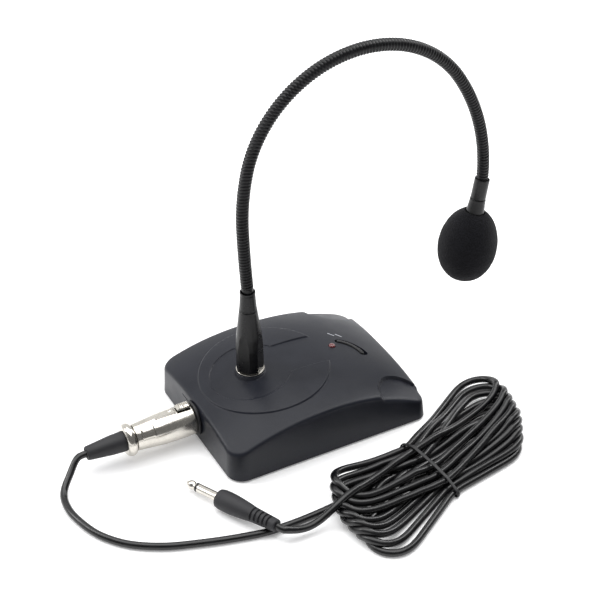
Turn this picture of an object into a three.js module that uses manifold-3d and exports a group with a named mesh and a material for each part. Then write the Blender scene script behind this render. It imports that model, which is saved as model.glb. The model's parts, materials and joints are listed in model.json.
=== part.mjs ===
// Gooseneck podium microphone: a weighted desk base, a flexible neck with a foam-covered
// capsule, and a lead with a three-pin plug at the base, a hank and a 6.35 mm plug.
// Millimetres, +Z up, table top at z = 0. Lengths are first laid out from the middle of the
// base (x = 0, y = 0) and the whole group is then moved so that the origin lies under the
// middle of the standing microphone. +X is the speaker's side, where the neck leans out.
import * as THREE from "three";
import { mergeVertices } from "three/addons/utils/BufferGeometryUtils.js";
import Module from "manifold-3d";

// ---------------------------------------------------------------- driving dimensions
const GAP = 0.3; // clearance between pieces

// Base housing
const BASE_REAR = 73.95; // from x = 0 to the rear and front walls at the table
const BASE_FRONT = 77.5;
const BASE_WIDTH = 124;
const BASE_CORNER = 11.5; // rear corners
const BASE_CORNER_FRONT = 8;
const BASE_RIM_Z = 1; // lower rim of the side walls
const WALL = 2.5;
const DRAFT_REAR = 0.03; // wall lean, mm inwards for each mm of height
const DRAFT_FRONT = 0.04;
const DRAFT_SIDE = 0.06; // at the rear corners
const DRAFT_SIDE_FRONT = 0.13;
const CROWN_TOP = 41.8; // height of the crowned top at its middle
const CROWN_DROP_X = 14.6;
const CROWN_DROP_Y = 7;
const CROWN_CENTRE_X = -4;
const DISC_X = -19.5; // large round panel on the top
const DISC_R = 46;
const PANEL_STEP = 0.9;
const KEYHOLE_R = 28.5; // smaller round panel about the neck, with a channel towards +X
const CHANNEL_HALF = 16;
const PAD_X = 61; // shallow round relief at each front corner
const PAD_Y = 57;
const PAD_R = 18.5;
const PAD_DEPTH = 2.4;

// Floor of the base
const FLOOR_Z = 2;
const FLOOR_THICK = 2.5;
const FOOT_R = 6;
const FOOT_X = 57;
const FOOT_Y = 43;
const POST_X = 61;
const POST_Y = 31;
const POST_R = 3.6;
const SCREW_R = 1.2;
const BAY = { x: -6, y: -30, length: 60, width: 31 }; // battery bay, plan
const DOOR_TRAVEL = 3.2;
const CELL_R = 7.1;
const CELL_LENGTH = 49;

// Switch and lamp
const LED_X = 34.5;
const LED_R = 2.4;
const SWITCH_X = 49.5;
const SWITCH_Y = -2;
const SWITCH_ARC_R = 20; // mean radius of the crescent-shaped thumb piece
const SWITCH_WIDTH = 3;
const SWITCH_SPAN = THREE.MathUtils.degToRad(60);
const SWITCH_TURN = THREE.MathUtils.degToRad(33);
const SWITCH_TRAVEL = 2;

// Socket and lead plug on the rear wall
const SOCKET_Z = 15.8;
const SOCKET_R = 10.5;
const PLUG_R = 11.4;
const LATCH_PROUD = 2.9; // the release latch stands this far above the plug
const PLUG_NOSE_R = 9;
const PLUG_NOSE = 14;
const PIN_R = 1.2;
const PIN_CIRCLE = 4.2;

// Neck
const NECK_X = -30;
const NECK_R = 4.35;
const NECK_START_Z = 108.5;
const NECK_PIECES = 10;
const NECK_HEADING = -3.8; // lean at the foot, degrees from +Z towards +X
const NECK_ARCS = [
  // [length, turn in degrees], one round stretch after another
  [47, 2.8],
  [42, 13.9],
  [203.3, 133.2],
  [91.5, 36.8],
];
const COLLAR_R = 9.45;
const COLLAR_FLAT = 8.4;
const COLLAR_FLAT_TURN = 36;

// Capsule
const FOAM_R = 21.2;
const FOAM_HALF = 28.3;
const FOAM_AT = 51; // middle of the foam along the capsule axis
const CAPSULE_R = 6.2;
const TIP_LEAN = 0.123; // the capsule's axis leans this far past the neck's last heading, radians

// Lead
const LEAD_R = 2.5;
const JACK_TIP = new THREE.Vector3(-102, -47.5, 5.2);
const JACK_TAIL = new THREE.Vector3(-71, -118.5, 10.6);
// Route of the lead on the table from the three-pin plug to the hank, and from the hank's
// other end to the jack plug, from the middle of the base.
const ROUTE_PLUG_TO_HANK = [
  [-154.6, 0, 15.8],
  [-160, -0.4, 15.2],
  [-168.5, -6.5, 9.2],
  [-177.5, -16.5, 3.6],
  [-180, -31, 2.7],
  [-177.8, -46, 2.7],
  [-171.5, -63.5, 2.7],
  [-158.8, -80, 2.7],
  [-139.5, -93, 2.7],
  [-118, -101.4, 2.7],
  [-95, -108.5, 2.7],
  [-76, -112.8, 2.7],
  [-60, -113.8, 2.7],
  [-39.9, -115.6, 4],
];
const ROUTE_JACK_TO_HANK = [
  [-70.75, -119.1, 10.65],
  [-69.4, -122.2, 10.3],
  [-61, -125.5, 5.6],
  [-53, -125.5, 4],
  [-42.5, -125, 4],
];
const HANK_A = { x: 1, y: -133, r: 43 };
const HANK_B = { x: 104, y: -93, r: 34 };
const HANK_WAIST = 30;
const HANK_Z = 1.8;
const HANK_HEIGHT = 19;
const TIE = { x: 46, y: -112, turn: -80, half: 35, thick: 1.2 };

// ---------------------------------------------------------------- materials
const finish = (color, roughness, metalness) =>
  new THREE.MeshStandardMaterial({ color, roughness, metalness });
const shellPlastic = finish(0x34363c, 0.5, 0);
const blackPlastic = finish(0x17181a, 0.45, 0);
const blackMetal = finish(0x151617, 0.32, 0.7);
const neckMetal = finish(0x1b1c1e, 0.38, 0.8);
const nickel = finish(0xc9c6c0, 0.22, 1);
const steel = finish(0x8d8f92, 0.4, 1);
const foamBlack = finish(0x0e0e10, 0.98, 0);
const rubber = finish(0x121213, 0.8, 0);
const leadSkin = finish(0x111213, 0.42, 0);
const redLens = finish(0x5a0a0d, 0.2, 0);
const boardGreen = finish(0x1d5a34, 0.6, 0);
const cellWrap = finish(0x2b5d8f, 0.4, 0.2);

// ---------------------------------------------------------------- solids
const wasm = await Module();
wasm.setup();
const { Manifold, Mesh } = wasm;

// A geometry as a closed manifold-3d solid.
function solid(geometry) {
  const bare = geometry.clone();
  bare.deleteAttribute("normal");
  bare.deleteAttribute("uv");
  const merged = mergeVertices(bare, 1e-4);
  return new Manifold(
    new Mesh({
      numProp: 3,
      vertProperties: new Float32Array(merged.attributes.position.array),
      triVerts: new Uint32Array(merged.index.array),
    }),
  );
}

// A manifold-3d solid as a geometry with flat-shaded faces.
function geometryOf(body) {
  const m = body.getMesh();
  const geometry = new THREE.BufferGeometry();
  geometry.setAttribute("position", new THREE.BufferAttribute(m.vertProperties, 3));
  geometry.setIndex(new THREE.BufferAttribute(m.triVerts, 1));
  const flat = geometry.toNonIndexed();
  flat.computeVertexNormals();
  return flat;
}

const standing = new THREE.Group();
const lead = new THREE.Group();

function addPiece(name, shape, material, parent = standing) {
  const geometry = shape.isBufferGeometry ? shape : geometryOf(shape);
  const mesh = new THREE.Mesh(geometry, material);
  mesh.name = name;
  parent.add(mesh);
  return mesh;
}

const box = (x0, x1, y0, y1, z0, z1) =>
  solid(
    new THREE.BoxGeometry(x1 - x0, y1 - y0, z1 - z0).translate(
      (x0 + x1) / 2,
      (y0 + y1) / 2,
      (z0 + z1) / 2,
    ),
  );

// Turned solids about +Z. A profile runs from the axis back to the axis, or closes on itself,
// with [radius, height] points that go up the outside.
const turned = (profile, sides = 24) =>
  new THREE.LatheGeometry(
    profile.map(([r, z]) => new THREE.Vector2(r, z)),
    sides,
  ).rotateX(Math.PI / 2);
const rod = (r, z0, z1, sides = 24) => turned([[0, z0], [r, z0], [r, z1], [0, z1]], sides);
const tube = (inner, outer, z0, z1, sides = 24) =>
  turned([[inner, z0], [outer, z0], [outer, z1], [inner, z1], [inner, z0]], sides);

// Moves a solid of revolution from the z axis onto an axis through a point.
function along(geometry, origin, direction) {
  const turn = new THREE.Quaternion().setFromUnitVectors(
    new THREE.Vector3(0, 0, 1),
    direction.clone().normalize(),
  );
  return geometry.clone().applyQuaternion(turn).translate(origin.x, origin.y, origin.z);
}

// ---------------------------------------------------------------- base housing
// Height of the crowned top above the table.
function crown(x, y) {
  const u = Math.abs(x - CROWN_CENTRE_X) / 71.5;
  const v = Math.abs(y) / 57.5;
  return CROWN_TOP - CROWN_DROP_X * u ** 2.2 - CROWN_DROP_Y * v ** 2.4;
}

// Facets of the crowned surfaces, along x and y.
const FINE = [12, 10];
const COARSE = [6, 6];

// A block from below the table up to the crowned surface moved by "lift".
function crownBlock(lift, nx, ny) {
  const geometry = new THREE.BoxGeometry(2 * BASE_FRONT + 10, BASE_WIDTH + 10, 2, nx, ny, 1);
  const p = geometry.attributes.position;
  for (let i = 0; i < p.count; i++)
    p.setZ(i, p.getZ(i) > 0 ? crown(p.getX(i), p.getY(i)) + lift : -20);
  return solid(geometry);
}

// The rounded rectangle of the base, inset by "inset", as a drafted prism.
function basePrism(inset, z0, z1) {
  const front = BASE_FRONT - inset;
  const rear = BASE_REAR - inset;
  const hy = BASE_WIDTH / 2 - inset;
  const r = Math.max(BASE_CORNER - inset, 1);
  const rf = Math.max(BASE_CORNER_FRONT - inset, 1);
  const outline = new THREE.Shape();
  outline.absarc(front - rf, hy - rf, rf, 0, Math.PI / 2);
  outline.absarc(-rear + r, hy - r, r, Math.PI / 2, Math.PI);
  outline.absarc(-rear + r, -hy + r, r, Math.PI, Math.PI * 1.5);
  outline.absarc(front - rf, -hy + rf, rf, Math.PI * 1.5, Math.PI * 2);
  outline.closePath();
  const geometry = new THREE.ExtrudeGeometry(outline, {
    depth: z1 - z0,
    bevelEnabled: false,
    curveSegments: 5,
  }).translate(0, 0, z0);
  const p = geometry.attributes.position;
  for (let i = 0; i < p.count; i++) {
    const [x, y, z] = [p.getX(i), p.getY(i), p.getZ(i)];
    p.setX(i, x > 0 ? x - DRAFT_FRONT * z : x + DRAFT_REAR * z);
    p.setY(i, y - Math.sign(y) * (x > 0 ? DRAFT_SIDE_FRONT : DRAFT_SIDE) * z);
  }
  return solid(geometry);
}

// The crescent of the switch in plan: a bent bar with round ends, "grow" mm fatter all round.
function crescent(grow, z0, z1) {
  const half = SWITCH_WIDTH / 2 + grow;
  const a = SWITCH_SPAN / 2;
  const end = (angle) => [Math.cos(angle) * SWITCH_ARC_R, Math.sin(angle) * SWITCH_ARC_R];
  const outline = new THREE.Shape();
  outline.absarc(0, 0, SWITCH_ARC_R + half, -a, a);
  outline.absarc(...end(a), half, a, a + Math.PI);
  outline.absarc(0, 0, SWITCH_ARC_R - half, a, -a, true);
  outline.absarc(...end(-a), half, Math.PI - a, 2 * Math.PI - a);
  outline.closePath();
  return new THREE.ExtrudeGeometry(outline, {
    depth: z1 - z0,
    bevelEnabled: false,
    curveSegments: 5,
  })
    .translate(-SWITCH_ARC_R, 0, 0)
    .rotateZ(SWITCH_TURN)
    .translate(SWITCH_X, SWITCH_Y, z0);
}

const floorTop = FLOOR_Z + FLOOR_THICK;
const corners = [[1, 1], [-1, 1], [-1, -1], [1, -1]];
const postAt = corners.map(([sx, sy]) => [sx * POST_X - 1, sy * POST_Y]);
const rearX = -BASE_REAR + DRAFT_REAR * SOCKET_Z;

function coverTop() {
  const panel = solid(rod(DISC_R, 20, 60, 44).translate(DISC_X, 0, 0));
  const seat = solid(rod(10.6, 33.4, 41.7, 24).translate(NECK_X, 0, 0));
  const keyhole = solid(rod(KEYHOLE_R, 20, 60, 32).translate(NECK_X, 0, 0)).add(
    box(NECK_X, DISC_X + DISC_R - 3, -CHANNEL_HALF, CHANNEL_HALF, 20, 60),
  );
  const outer = basePrism(0, BASE_RIM_Z, 60);
  let body = outer.intersect(crownBlock(0, ...FINE));
  const raised = crownBlock(PANEL_STEP, ...FINE).intersect(panel).subtract(keyhole);
  body = body.add(raised.intersect(outer).subtract(box(-90, 90, -70, 70, -30, 20)));

  // round reliefs at the two front corners, sunk parallel to the crowned top
  for (const side of [1, -1]) {
    const relief = solid(rod(PAD_R, 0, 40, 32).translate(PAD_X, side * PAD_Y, 0));
    body = body.subtract(relief.subtract(crownBlock(-PAD_DEPTH, ...FINE)));
  }

  body = body.subtract(
    basePrism(WALL, -1, 60).intersect(crownBlock(-WALL, ...COARSE)),
  );
  const ceiling = crownBlock(-1, ...COARSE);
  for (const [x, y] of postAt)
    body = body.add(
      solid(rod(POST_R, floorTop + GAP, 60, 10).translate(x, y, 0)).intersect(ceiling),
    );
  for (const [x, y] of postAt)
    body = body.subtract(solid(rod(SCREW_R + GAP, 0, 16, 8).translate(x, y, 0)));

  body = body.add(seat);
  body = body.subtract(solid(rod(5.2, 20, 60, 16).translate(NECK_X, 0, 0)));
  body = body.subtract(solid(rod(LED_R + GAP, 20, 60, 12).translate(LED_X, 0, 0)));
  const slot = crescent(0.6, 20, 60);
  body = body.subtract(solid(slot)).subtract(solid(slot.clone().translate(SWITCH_TRAVEL, 0, 0)));
  const bore = new THREE.Vector3(-BASE_REAR - 5, 0, SOCKET_Z);
  return body.subtract(
    solid(along(rod(SOCKET_R + GAP, 0, 20, 24), bore, new THREE.Vector3(1, 0, 0))),
  );
}
addPiece("base_top_cover", coverTop(), shellPlastic);

const bay = {
  x0: BAY.x - BAY.length / 2,
  x1: BAY.x + BAY.length / 2,
  y0: BAY.y - BAY.width / 2,
  y1: BAY.y + BAY.width / 2,
};

function coverBottom() {
  let body = basePrism(WALL + GAP + 0.15, FLOOR_Z, floorTop);
  const doorway = box(bay.x0, bay.x1 + DOOR_TRAVEL, bay.y0, bay.y1, 0, floorTop + 1);
  const bayWalls = box(bay.x0 - 1.6, bay.x1 + DOOR_TRAVEL + 1.6, bay.y0 - 1.6, bay.y1 + 1.6,
    floorTop - 1, 17);
  const bayHollow = box(bay.x0, bay.x1 + DOOR_TRAVEL, bay.y0, bay.y1, 0, 30);
  body = body.add(bayWalls).subtract(doorway).subtract(bayHollow);
  for (const [x, y] of boardPosts)
    body = body.add(solid(rod(2.6, floorTop - 1, BOARD_Z - GAP, 8).translate(x, y, 0)));
  for (const [x, y] of postAt) {
    body = body.subtract(solid(rod(SCREW_R + GAP, 0, 10, 8).translate(x, y, 0)));
    body = body.subtract(solid(rod(2.6, 0, FLOOR_Z + 1.5, 12).translate(x, y, 0)));
  }
  return body;
}

const BOARD_Z = 20;
const boardPosts = [[32, 17], [32, -9], [60, 17], [60, -17]];
addPiece("base_bottom_cover", coverBottom(), blackPlastic);

addPiece(
  "battery_door",
  box(bay.x0 + GAP, bay.x1 - GAP, bay.y0 + GAP, bay.y1 - GAP, FLOOR_Z, FLOOR_Z + 1.8).subtract(
    box(bay.x1 - 9, bay.x1 - 5, BAY.y - 8, BAY.y + 8, FLOOR_Z - 1, FLOOR_Z + 0.8),
  ),
  blackPlastic,
);

const ballast = box(-44, 24, 8, 48, floorTop + GAP, floorTop + GAP + 8);
addPiece("ballast_plate", ballast, steel);

corners.forEach(([sx, sy], i) =>
  addPiece(
    `rubber_foot_${i + 1}`,
    turned([[0, 0], [FOOT_R - 0.6, 0], [FOOT_R, 0.6], [FOOT_R, FLOOR_Z - 0.05],
      [0, FLOOR_Z - 0.05]], 16).translate(sx * FOOT_X, sy * FOOT_Y, 0),
    rubber,
  ),
);

postAt.forEach(([x, y], i) =>
  addPiece(
    `cover_screw_${i + 1}`,
    turned([[0, 2.1], [2.3, 2.1], [2.3, 3.2], [SCREW_R, 3.2], [SCREW_R, 14], [0, 14.6]], 8)
      .translate(x, y, 0),
    steel,
  ),
);

// Two round cells side by side, end to end opposite, between two sprung contact strips.
[1, -1].forEach((side, i) => {
  const y = BAY.y + side * (CELL_R + 0.25);
  const cell = turned([[0, 0], [CELL_R, 0], [CELL_R, CELL_LENGTH - 1.3],
    [2.7, CELL_LENGTH - 1.3], [2.7, CELL_LENGTH], [0, CELL_LENGTH]], 14);
  const start = new THREE.Vector3(BAY.x - (side * CELL_LENGTH) / 2, y, FLOOR_Z + 1.8 + GAP + CELL_R);
  addPiece(`battery_${i + 1}`, along(cell, start, new THREE.Vector3(side, 0, 0)), cellWrap);
  const x = BAY.x + side * (CELL_LENGTH / 2 + 1.2);
  addPiece(
    `battery_contact_${i + 1}`,
    box(x - 0.4, x + 0.4, BAY.y - 13, BAY.y + 13, 4.6, 16),
    nickel,
  );
});

// ---------------------------------------------------------------- board, switch and lamp
addPiece("circuit_board", box(29, 63, -20, 20, BOARD_Z, BOARD_Z + 1.6), boardGreen);
addPiece("switch_body", box(42, 58, -13, 6, BOARD_Z + 1.6 + GAP, 27), blackPlastic);
const thumbTop = crown(SWITCH_X, 0) + 1.6;
addPiece("switch_slider", crescent(0, 27 + GAP, thumbTop), blackPlastic);
addPiece(
  "led",
  turned([[0, BOARD_Z + 1.6 + GAP], [LED_R, BOARD_Z + 1.6 + GAP], [LED_R, crown(LED_X, 0) + 0.4],
    [LED_R * 0.8, crown(LED_X, 0) + 1.3], [LED_R * 0.4, crown(LED_X, 0) + 1.8],
    [0, crown(LED_X, 0) + 1.9]], 12).translate(LED_X, 0, 0),
  redLens,
);

// ---------------------------------------------------------------- three-pin socket
const rearward = new THREE.Vector3(-1, 0, 0);
const socketFace = new THREE.Vector3(rearX, 0, SOCKET_Z); // axis meets the rear wall here
const wallFace = 0.5; // the leaning wall stands this far out at the socket's lower edge
addPiece(
  "xlr_socket_shell",
  along(
    turned([[9.4, -18], [SOCKET_R, -18], [SOCKET_R, wallFace + GAP], [12.4, wallFace + GAP],
      [12.4, wallFace + 1.7], [9.4, wallFace + 1.7], [9.4, -18]], 24),
    socketFace,
    rearward,
  ),
  blackPlastic,
);
addPiece("xlr_socket_insert", along(rod(9.1, -17.8, -15, 24), socketFace, rearward), blackPlastic);
const pinAt = [90, 210, 330].map((deg) => THREE.MathUtils.degToRad(deg));
const pinSeat = (angle) =>
  socketFace
    .clone()
    .add(new THREE.Vector3(0, Math.cos(angle) * PIN_CIRCLE, Math.sin(angle) * PIN_CIRCLE));
pinAt.forEach((angle, i) =>
  addPiece(
    `xlr_pin_${i + 1}`,
    along(
      turned([[0, -14.7], [PIN_R, -14.7], [PIN_R, -3.4], [0.5, -2.6], [0, -2.6]], 8),
      pinSeat(angle),
      rearward,
    ),
    nickel,
  ),
);

// ---------------------------------------------------------------- neck
// Point and heading of the neck's centre line, "s" mm above its foot.
function neckAt(s) {
  let x = NECK_X;
  let z = NECK_START_Z;
  let heading = THREE.MathUtils.degToRad(NECK_HEADING);
  let left = s;
  for (const [length, turnDeg] of NECK_ARCS) {
    const run = Math.min(left, length);
    const turn = (THREE.MathUtils.degToRad(turnDeg) * run) / length;
    const chord = turn ? (2 * run * Math.sin(turn / 2)) / turn : run;
    x += chord * Math.sin(heading + turn / 2);
    z += chord * Math.cos(heading + turn / 2);
    heading += turn;
    left -= run;
    if (left <= 0) break;
  }
  return { point: new THREE.Vector3(x, 0, z), heading };
}

class NeckCurve extends THREE.Curve {
  constructor(from, to) {
    super();
    this.from = from;
    this.to = to;
  }
  getPoint(t, target = new THREE.Vector3()) {
    return target.copy(neckAt(this.from + (this.to - this.from) * t).point);
  }
}

const circle = (r, sides) => {
  const shape = new THREE.Shape();
  for (let i = 0; i < sides; i++) {
    const a = (i / sides) * Math.PI * 2;
    if (i) shape.lineTo(Math.cos(a) * r, Math.sin(a) * r);
    else shape.moveTo(r, 0);
  }
  shape.closePath();
  return shape;
};
const swept = (r, sides, path, steps) =>
  new THREE.ExtrudeGeometry(circle(r, sides), { extrudePath: path, steps, bevelEnabled: false });

const neckLength = NECK_ARCS.reduce((sum, [length]) => sum + length, 0);
const pieceLength = neckLength / NECK_PIECES;

// Round points of a ball of radius r about the height "at", seen as a turned profile.
const ballArc = (r, at, degrees) =>
  degrees.map((deg) => {
    const a = THREE.MathUtils.degToRad(deg);
    return [r * Math.sin(a), at - r * Math.cos(a)];
  });

// A turned profile bent along the neck, its heights read as lengths along the centre line.
function bent(profile, from, sides) {
  const geometry = turned(profile, sides);
  const p = geometry.attributes.position;
  for (let i = 0; i < p.count; i++) {
    const { point, heading } = neckAt(from + p.getZ(i));
    const across = p.getX(i);
    p.setX(i, point.x + across * Math.cos(heading));
    p.setZ(i, point.z - across * Math.sin(heading));
  }
  return geometry;
}

// Each piece starts with a round end and finishes with a cup for the next piece's round end.
const cupEdge = Math.sqrt((NECK_R + GAP) ** 2 - NECK_R ** 2);
for (let i = 0; i < NECK_PIECES; i++) {
  const last = i === NECK_PIECES - 1;
  const profile = ballArc(NECK_R, 0, [0, 30, 60, 90]);
  for (const part of [0.25, 0.5, 0.75]) profile.push([NECK_R, pieceLength * part]);
  if (last) profile.push([NECK_R, pieceLength], [0, pieceLength]);
  else
    profile.push([NECK_R, pieceLength - cupEdge],
      ...ballArc(NECK_R + GAP, pieceLength, [45, 22, 0]));
  addPiece(
    `neck_segment_${String(i + 1).padStart(2, "0")}`,
    bent(profile, i * pieceLength, 14),
    neckMetal,
  );
}

// Foot of the neck: stud and nut through the cover, washer, collar with four flats, ferrule.
const up = (geometry) => geometry.translate(NECK_X, 0, 0);
addPiece("neck_stud", up(tube(2.4, 4.9, 24, 63, 14)), steel);
addPiece("neck_nut", solid(up(rod(9, 28, 33, 6))).subtract(solid(up(rod(5.3, 20, 40, 16)))), steel);
addPiece("neck_washer", up(tube(5.3, 9.9, 42, 43, 24)), nickel);

let collar = solid(
  turned([[5.2, 43.3], [COLLAR_R - 0.5, 43.3], [COLLAR_R, 44], [COLLAR_R, 62.5], [8.9, 70.7],
    [6.2, 92.1], [2.6, 92.1], [2.6, 63.5], [5.2, 63.5], [5.2, 43.3]], 24),
);
for (let i = 0; i < 4; i++) {
  const flat = new THREE.BoxGeometry(6, 30, 60)
    .translate(COLLAR_FLAT + 3, 0, 60)
    .rotateZ(THREE.MathUtils.degToRad(COLLAR_FLAT_TURN + 90 * i));
  collar = collar.subtract(solid(flat));
}
addPiece("neck_collar", collar.translate([NECK_X, 0, 0]), blackMetal);

const ferruleTop = NECK_START_Z - 1.3;
addPiece(
  "lower_ferrule",
  up(turned([[0, 92.4], [5.6, 92.4], [5.6, 94], [5.35, ferruleTop - 0.8], [5.25, ferruleTop],
    ...ballArc(NECK_R + GAP + 0.1, NECK_START_Z, [72, 45, 22, 0])], 20)),
  blackMetal,
);

// ---------------------------------------------------------------- capsule
// Everything past the neck is turned about one axis that carries on from its end.
const tip = neckAt(neckLength);
const tipAxis = new THREE.Vector3(Math.sin(tip.heading + TIP_LEAN), 0, Math.cos(tip.heading + TIP_LEAN));
const onTip = (geometry) => along(geometry, tip.point, tipAxis);
const sleeveBore = NECK_R + GAP + 0.2;
addPiece(
  "upper_ferrule",
  onTip(turned([[0, 0.8], [sleeveBore, 0.8], [sleeveBore, -1.5], [5.3, -1.5], [5.4, -0.8], [5.5, 13.7],
    [0, 13.7]], 20)),
  blackMetal,
);
addPiece(
  "capsule_collar",
  onTip(turned([[0, 14], [5.6, 14], [5.7, 16], [6.6, 26], [7, 29.7], [0, 29.7]], 20)),
  blackMetal,
);
addPiece("mic_capsule", onTip(rod(CAPSULE_R, 30, 52, 16)), blackMetal);
addPiece("capsule_grille", onTip(turned([[0, 52.3], [CAPSULE_R, 52.3], [CAPSULE_R - 0.4, 55.3],
  [CAPSULE_R - 2, 56.2], [0, 56.6]], 16)), steel);

// Egg of foam, slightly fuller towards its free end, with a blind hole over the capsule.
function windscreen() {
  const profile = [[0, FOAM_AT - FOAM_HALF]];
  const rings = 10;
  for (let i = 1; i < rings; i++) {
    const a = Math.PI * (i / rings);
    const fullness = 1 - 0.05 * Math.cos(a);
    profile.push([FOAM_R * Math.sin(a) ** 0.94 * fullness, FOAM_AT - FOAM_HALF * Math.cos(a)]);
  }
  profile.push([0, FOAM_AT + FOAM_HALF]);
  const hole = turned([[0, 0], [7.5, 0], [7.5, 30], [CAPSULE_R + 0.4, 30],
    [CAPSULE_R + 0.4, 57.5], [0, 57.5]], 16);
  return solid(turned(profile, 24)).subtract(solid(hole));
}
addPiece("windscreen", onTip(geometryOf(windscreen())), foamBlack);

// ---------------------------------------------------------------- three-pin plug of the lead
// Distances run rearwards along the plug from the socket's face.
const onPlug = (geometry) => along(geometry, socketFace, rearward);
const plugFront = wallFace + 2;
const shellProfile = [[7.9, -PLUG_NOSE], [PLUG_NOSE_R, -PLUG_NOSE], [PLUG_NOSE_R, plugFront],
  [PLUG_R - 0.4, plugFront], [PLUG_R, 9], [PLUG_R, 26], [10.7, 34], [9.6, 43], [9.3, 46],
  [6.5, 46], [6.5, 34], [7.9, 29], [7.9, -PLUG_NOSE]];
const latchSlot = { x0: rearX - 14, x1: rearX - 3.9, halfWidth: 3.4 };
const plugShell = solid(onPlug(turned(shellProfile, 24))).subtract(
  box(latchSlot.x0, latchSlot.x1, -latchSlot.halfWidth, latchSlot.halfWidth,
    SOCKET_Z + 7, SOCKET_Z + 14),
);
addPiece("xlr_plug_shell", plugShell, nickel, lead);

let plugInsert = solid(onPlug(rod(7.5, GAP - PLUG_NOSE, 5, 20)));
for (const angle of pinAt) {
  const hole = rod(PIN_R + GAP, -PLUG_NOSE - 1, -2, 8);
  plugInsert = plugInsert.subtract(solid(along(hole, pinSeat(angle), rearward)));
}
addPiece("xlr_plug_insert", plugInsert, blackPlastic, lead);

addPiece(
  "xlr_latch",
  box(latchSlot.x0 + GAP, latchSlot.x1 - GAP, GAP - latchSlot.halfWidth,
    latchSlot.halfWidth - GAP, SOCKET_Z + 8.6, SOCKET_Z + PLUG_R + LATCH_PROUD),
  nickel,
  lead,
);
addPiece(
  "xlr_end_ring",
  onPlug(turned([[7.3, 46.3], [9.8, 46.3], [11.3, 47.3], [11.8, 49], [11.8, 50.7],
    [11.3, 52.4], [9.8, 53.4], [7.3, 53.4], [7.3, 46.3]], 24)),
  nickel,
  lead,
);
const BOOT_END = 80.5;
addPiece(
  "xlr_boot",
  onPlug(turned([[0, 38], [6.1, 38], [6.1, 46.6], [7, 46.6], [7, 60], [6, 70],
    [4.9, BOOT_END], [0, BOOT_END]], 16)),
  rubber,
  lead,
);

// ---------------------------------------------------------------- lead
const routeCurve = (points) =>
  new THREE.CatmullRomCurve3(points.map((p) => new THREE.Vector3(...p)), false, "centripetal");
const leadTube = (points, steps) => swept(LEAD_R, 8, routeCurve(points), steps);
addPiece("lead_plug_run", leadTube(ROUTE_PLUG_TO_HANK, 26), leadSkin, lead);
addPiece("lead_jack_run", leadTube(ROUTE_JACK_TO_HANK, 5), leadSkin, lead);

// Outline of the hank: two round ends joined by a narrower waist.
function hankOutline() {
  const length = Math.hypot(HANK_B.x - HANK_A.x, HANK_B.y - HANK_A.y);
  const angleA = Math.asin(HANK_WAIST / HANK_A.r);
  const angleB = Math.asin(HANK_WAIST / HANK_B.r);
  const outline = new THREE.Shape();
  outline.absarc(0, 0, HANK_A.r, angleA, 2 * Math.PI - angleA);
  outline.absarc(length, 0, HANK_B.r, angleB - Math.PI, Math.PI - angleB);
  outline.closePath();
  return outline;
}
addPiece(
  "lead_hank",
  new THREE.ExtrudeGeometry(hankOutline(), {
    depth: HANK_HEIGHT,
    bevelEnabled: false,
    curveSegments: 12,
  })
    .rotateZ(Math.atan2(HANK_B.y - HANK_A.y, HANK_B.x - HANK_A.x))
    .translate(HANK_A.x, HANK_A.y, HANK_Z),
  leadSkin,
  lead,
);
const tieBand = box(-TIE.half - TIE.thick, TIE.half + TIE.thick, -1.3, 1.3,
  HANK_Z - GAP - TIE.thick, HANK_Z + HANK_HEIGHT + GAP + TIE.thick)
  .subtract(box(-TIE.half, TIE.half, -2, 2, HANK_Z - GAP, HANK_Z + HANK_HEIGHT + GAP));
addPiece("twist_tie", tieBand.rotate([0, 0, TIE.turn]).translate([TIE.x, TIE.y, 0]),
  blackPlastic, lead);

// ---------------------------------------------------------------- 6.35 mm plug
const jackAxis = JACK_TAIL.clone().sub(JACK_TIP).normalize();
const jackLength = JACK_TAIL.distanceTo(JACK_TIP);
const onJack = (geometry) => along(geometry, JACK_TIP, jackAxis);
addPiece(
  "jack_tip",
  onJack(turned([[0, 0], [1.5, 0.7], [3.1, 4], [3.17, 5.2], [2.3, 7], [2.3, 7.8], [3.17, 9.2],
    [0, 9.2]], 14)),
  nickel,
  lead,
);
addPiece("jack_ring", onJack(rod(3.1, 9.5, 10.7, 14)), blackPlastic, lead);
addPiece("jack_sleeve", onJack(rod(3.17, 11, 28.2, 14)), nickel, lead);
addPiece(
  "jack_handle",
  onJack(turned([[0, 28.5], [5.6, 28.5], [6.4, 29.4], [7, 34], [6.5, 46], [5.7, 57],
    [5, 60], [4.25, jackLength], [0, jackLength]], 16)),
  rubber,
  lead,
);

// ---------------------------------------------------------------- assembly
const root = new THREE.Group();
root.name = "gooseneck_podium_microphone";
root.add(standing, lead);
const stand = new THREE.Box3().setFromObject(standing);
root.position.set(-(stand.min.x + stand.max.x) / 2, -(stand.min.y + stand.max.y) / 2, 0);
export default root;
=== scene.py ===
# Gooseneck podium microphone with its lead: the looks, built around the CAD frame.
# Lengths are laid out in millimetres from the middle of the base, as the part is, and at()
# turns them into metres in the frame of the CAD model.
import json
import math

import bmesh
import bpy
import numpy as np
from mathutils import Matrix, Vector
from mathutils.geometry import delaunay_2d_cdt


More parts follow.
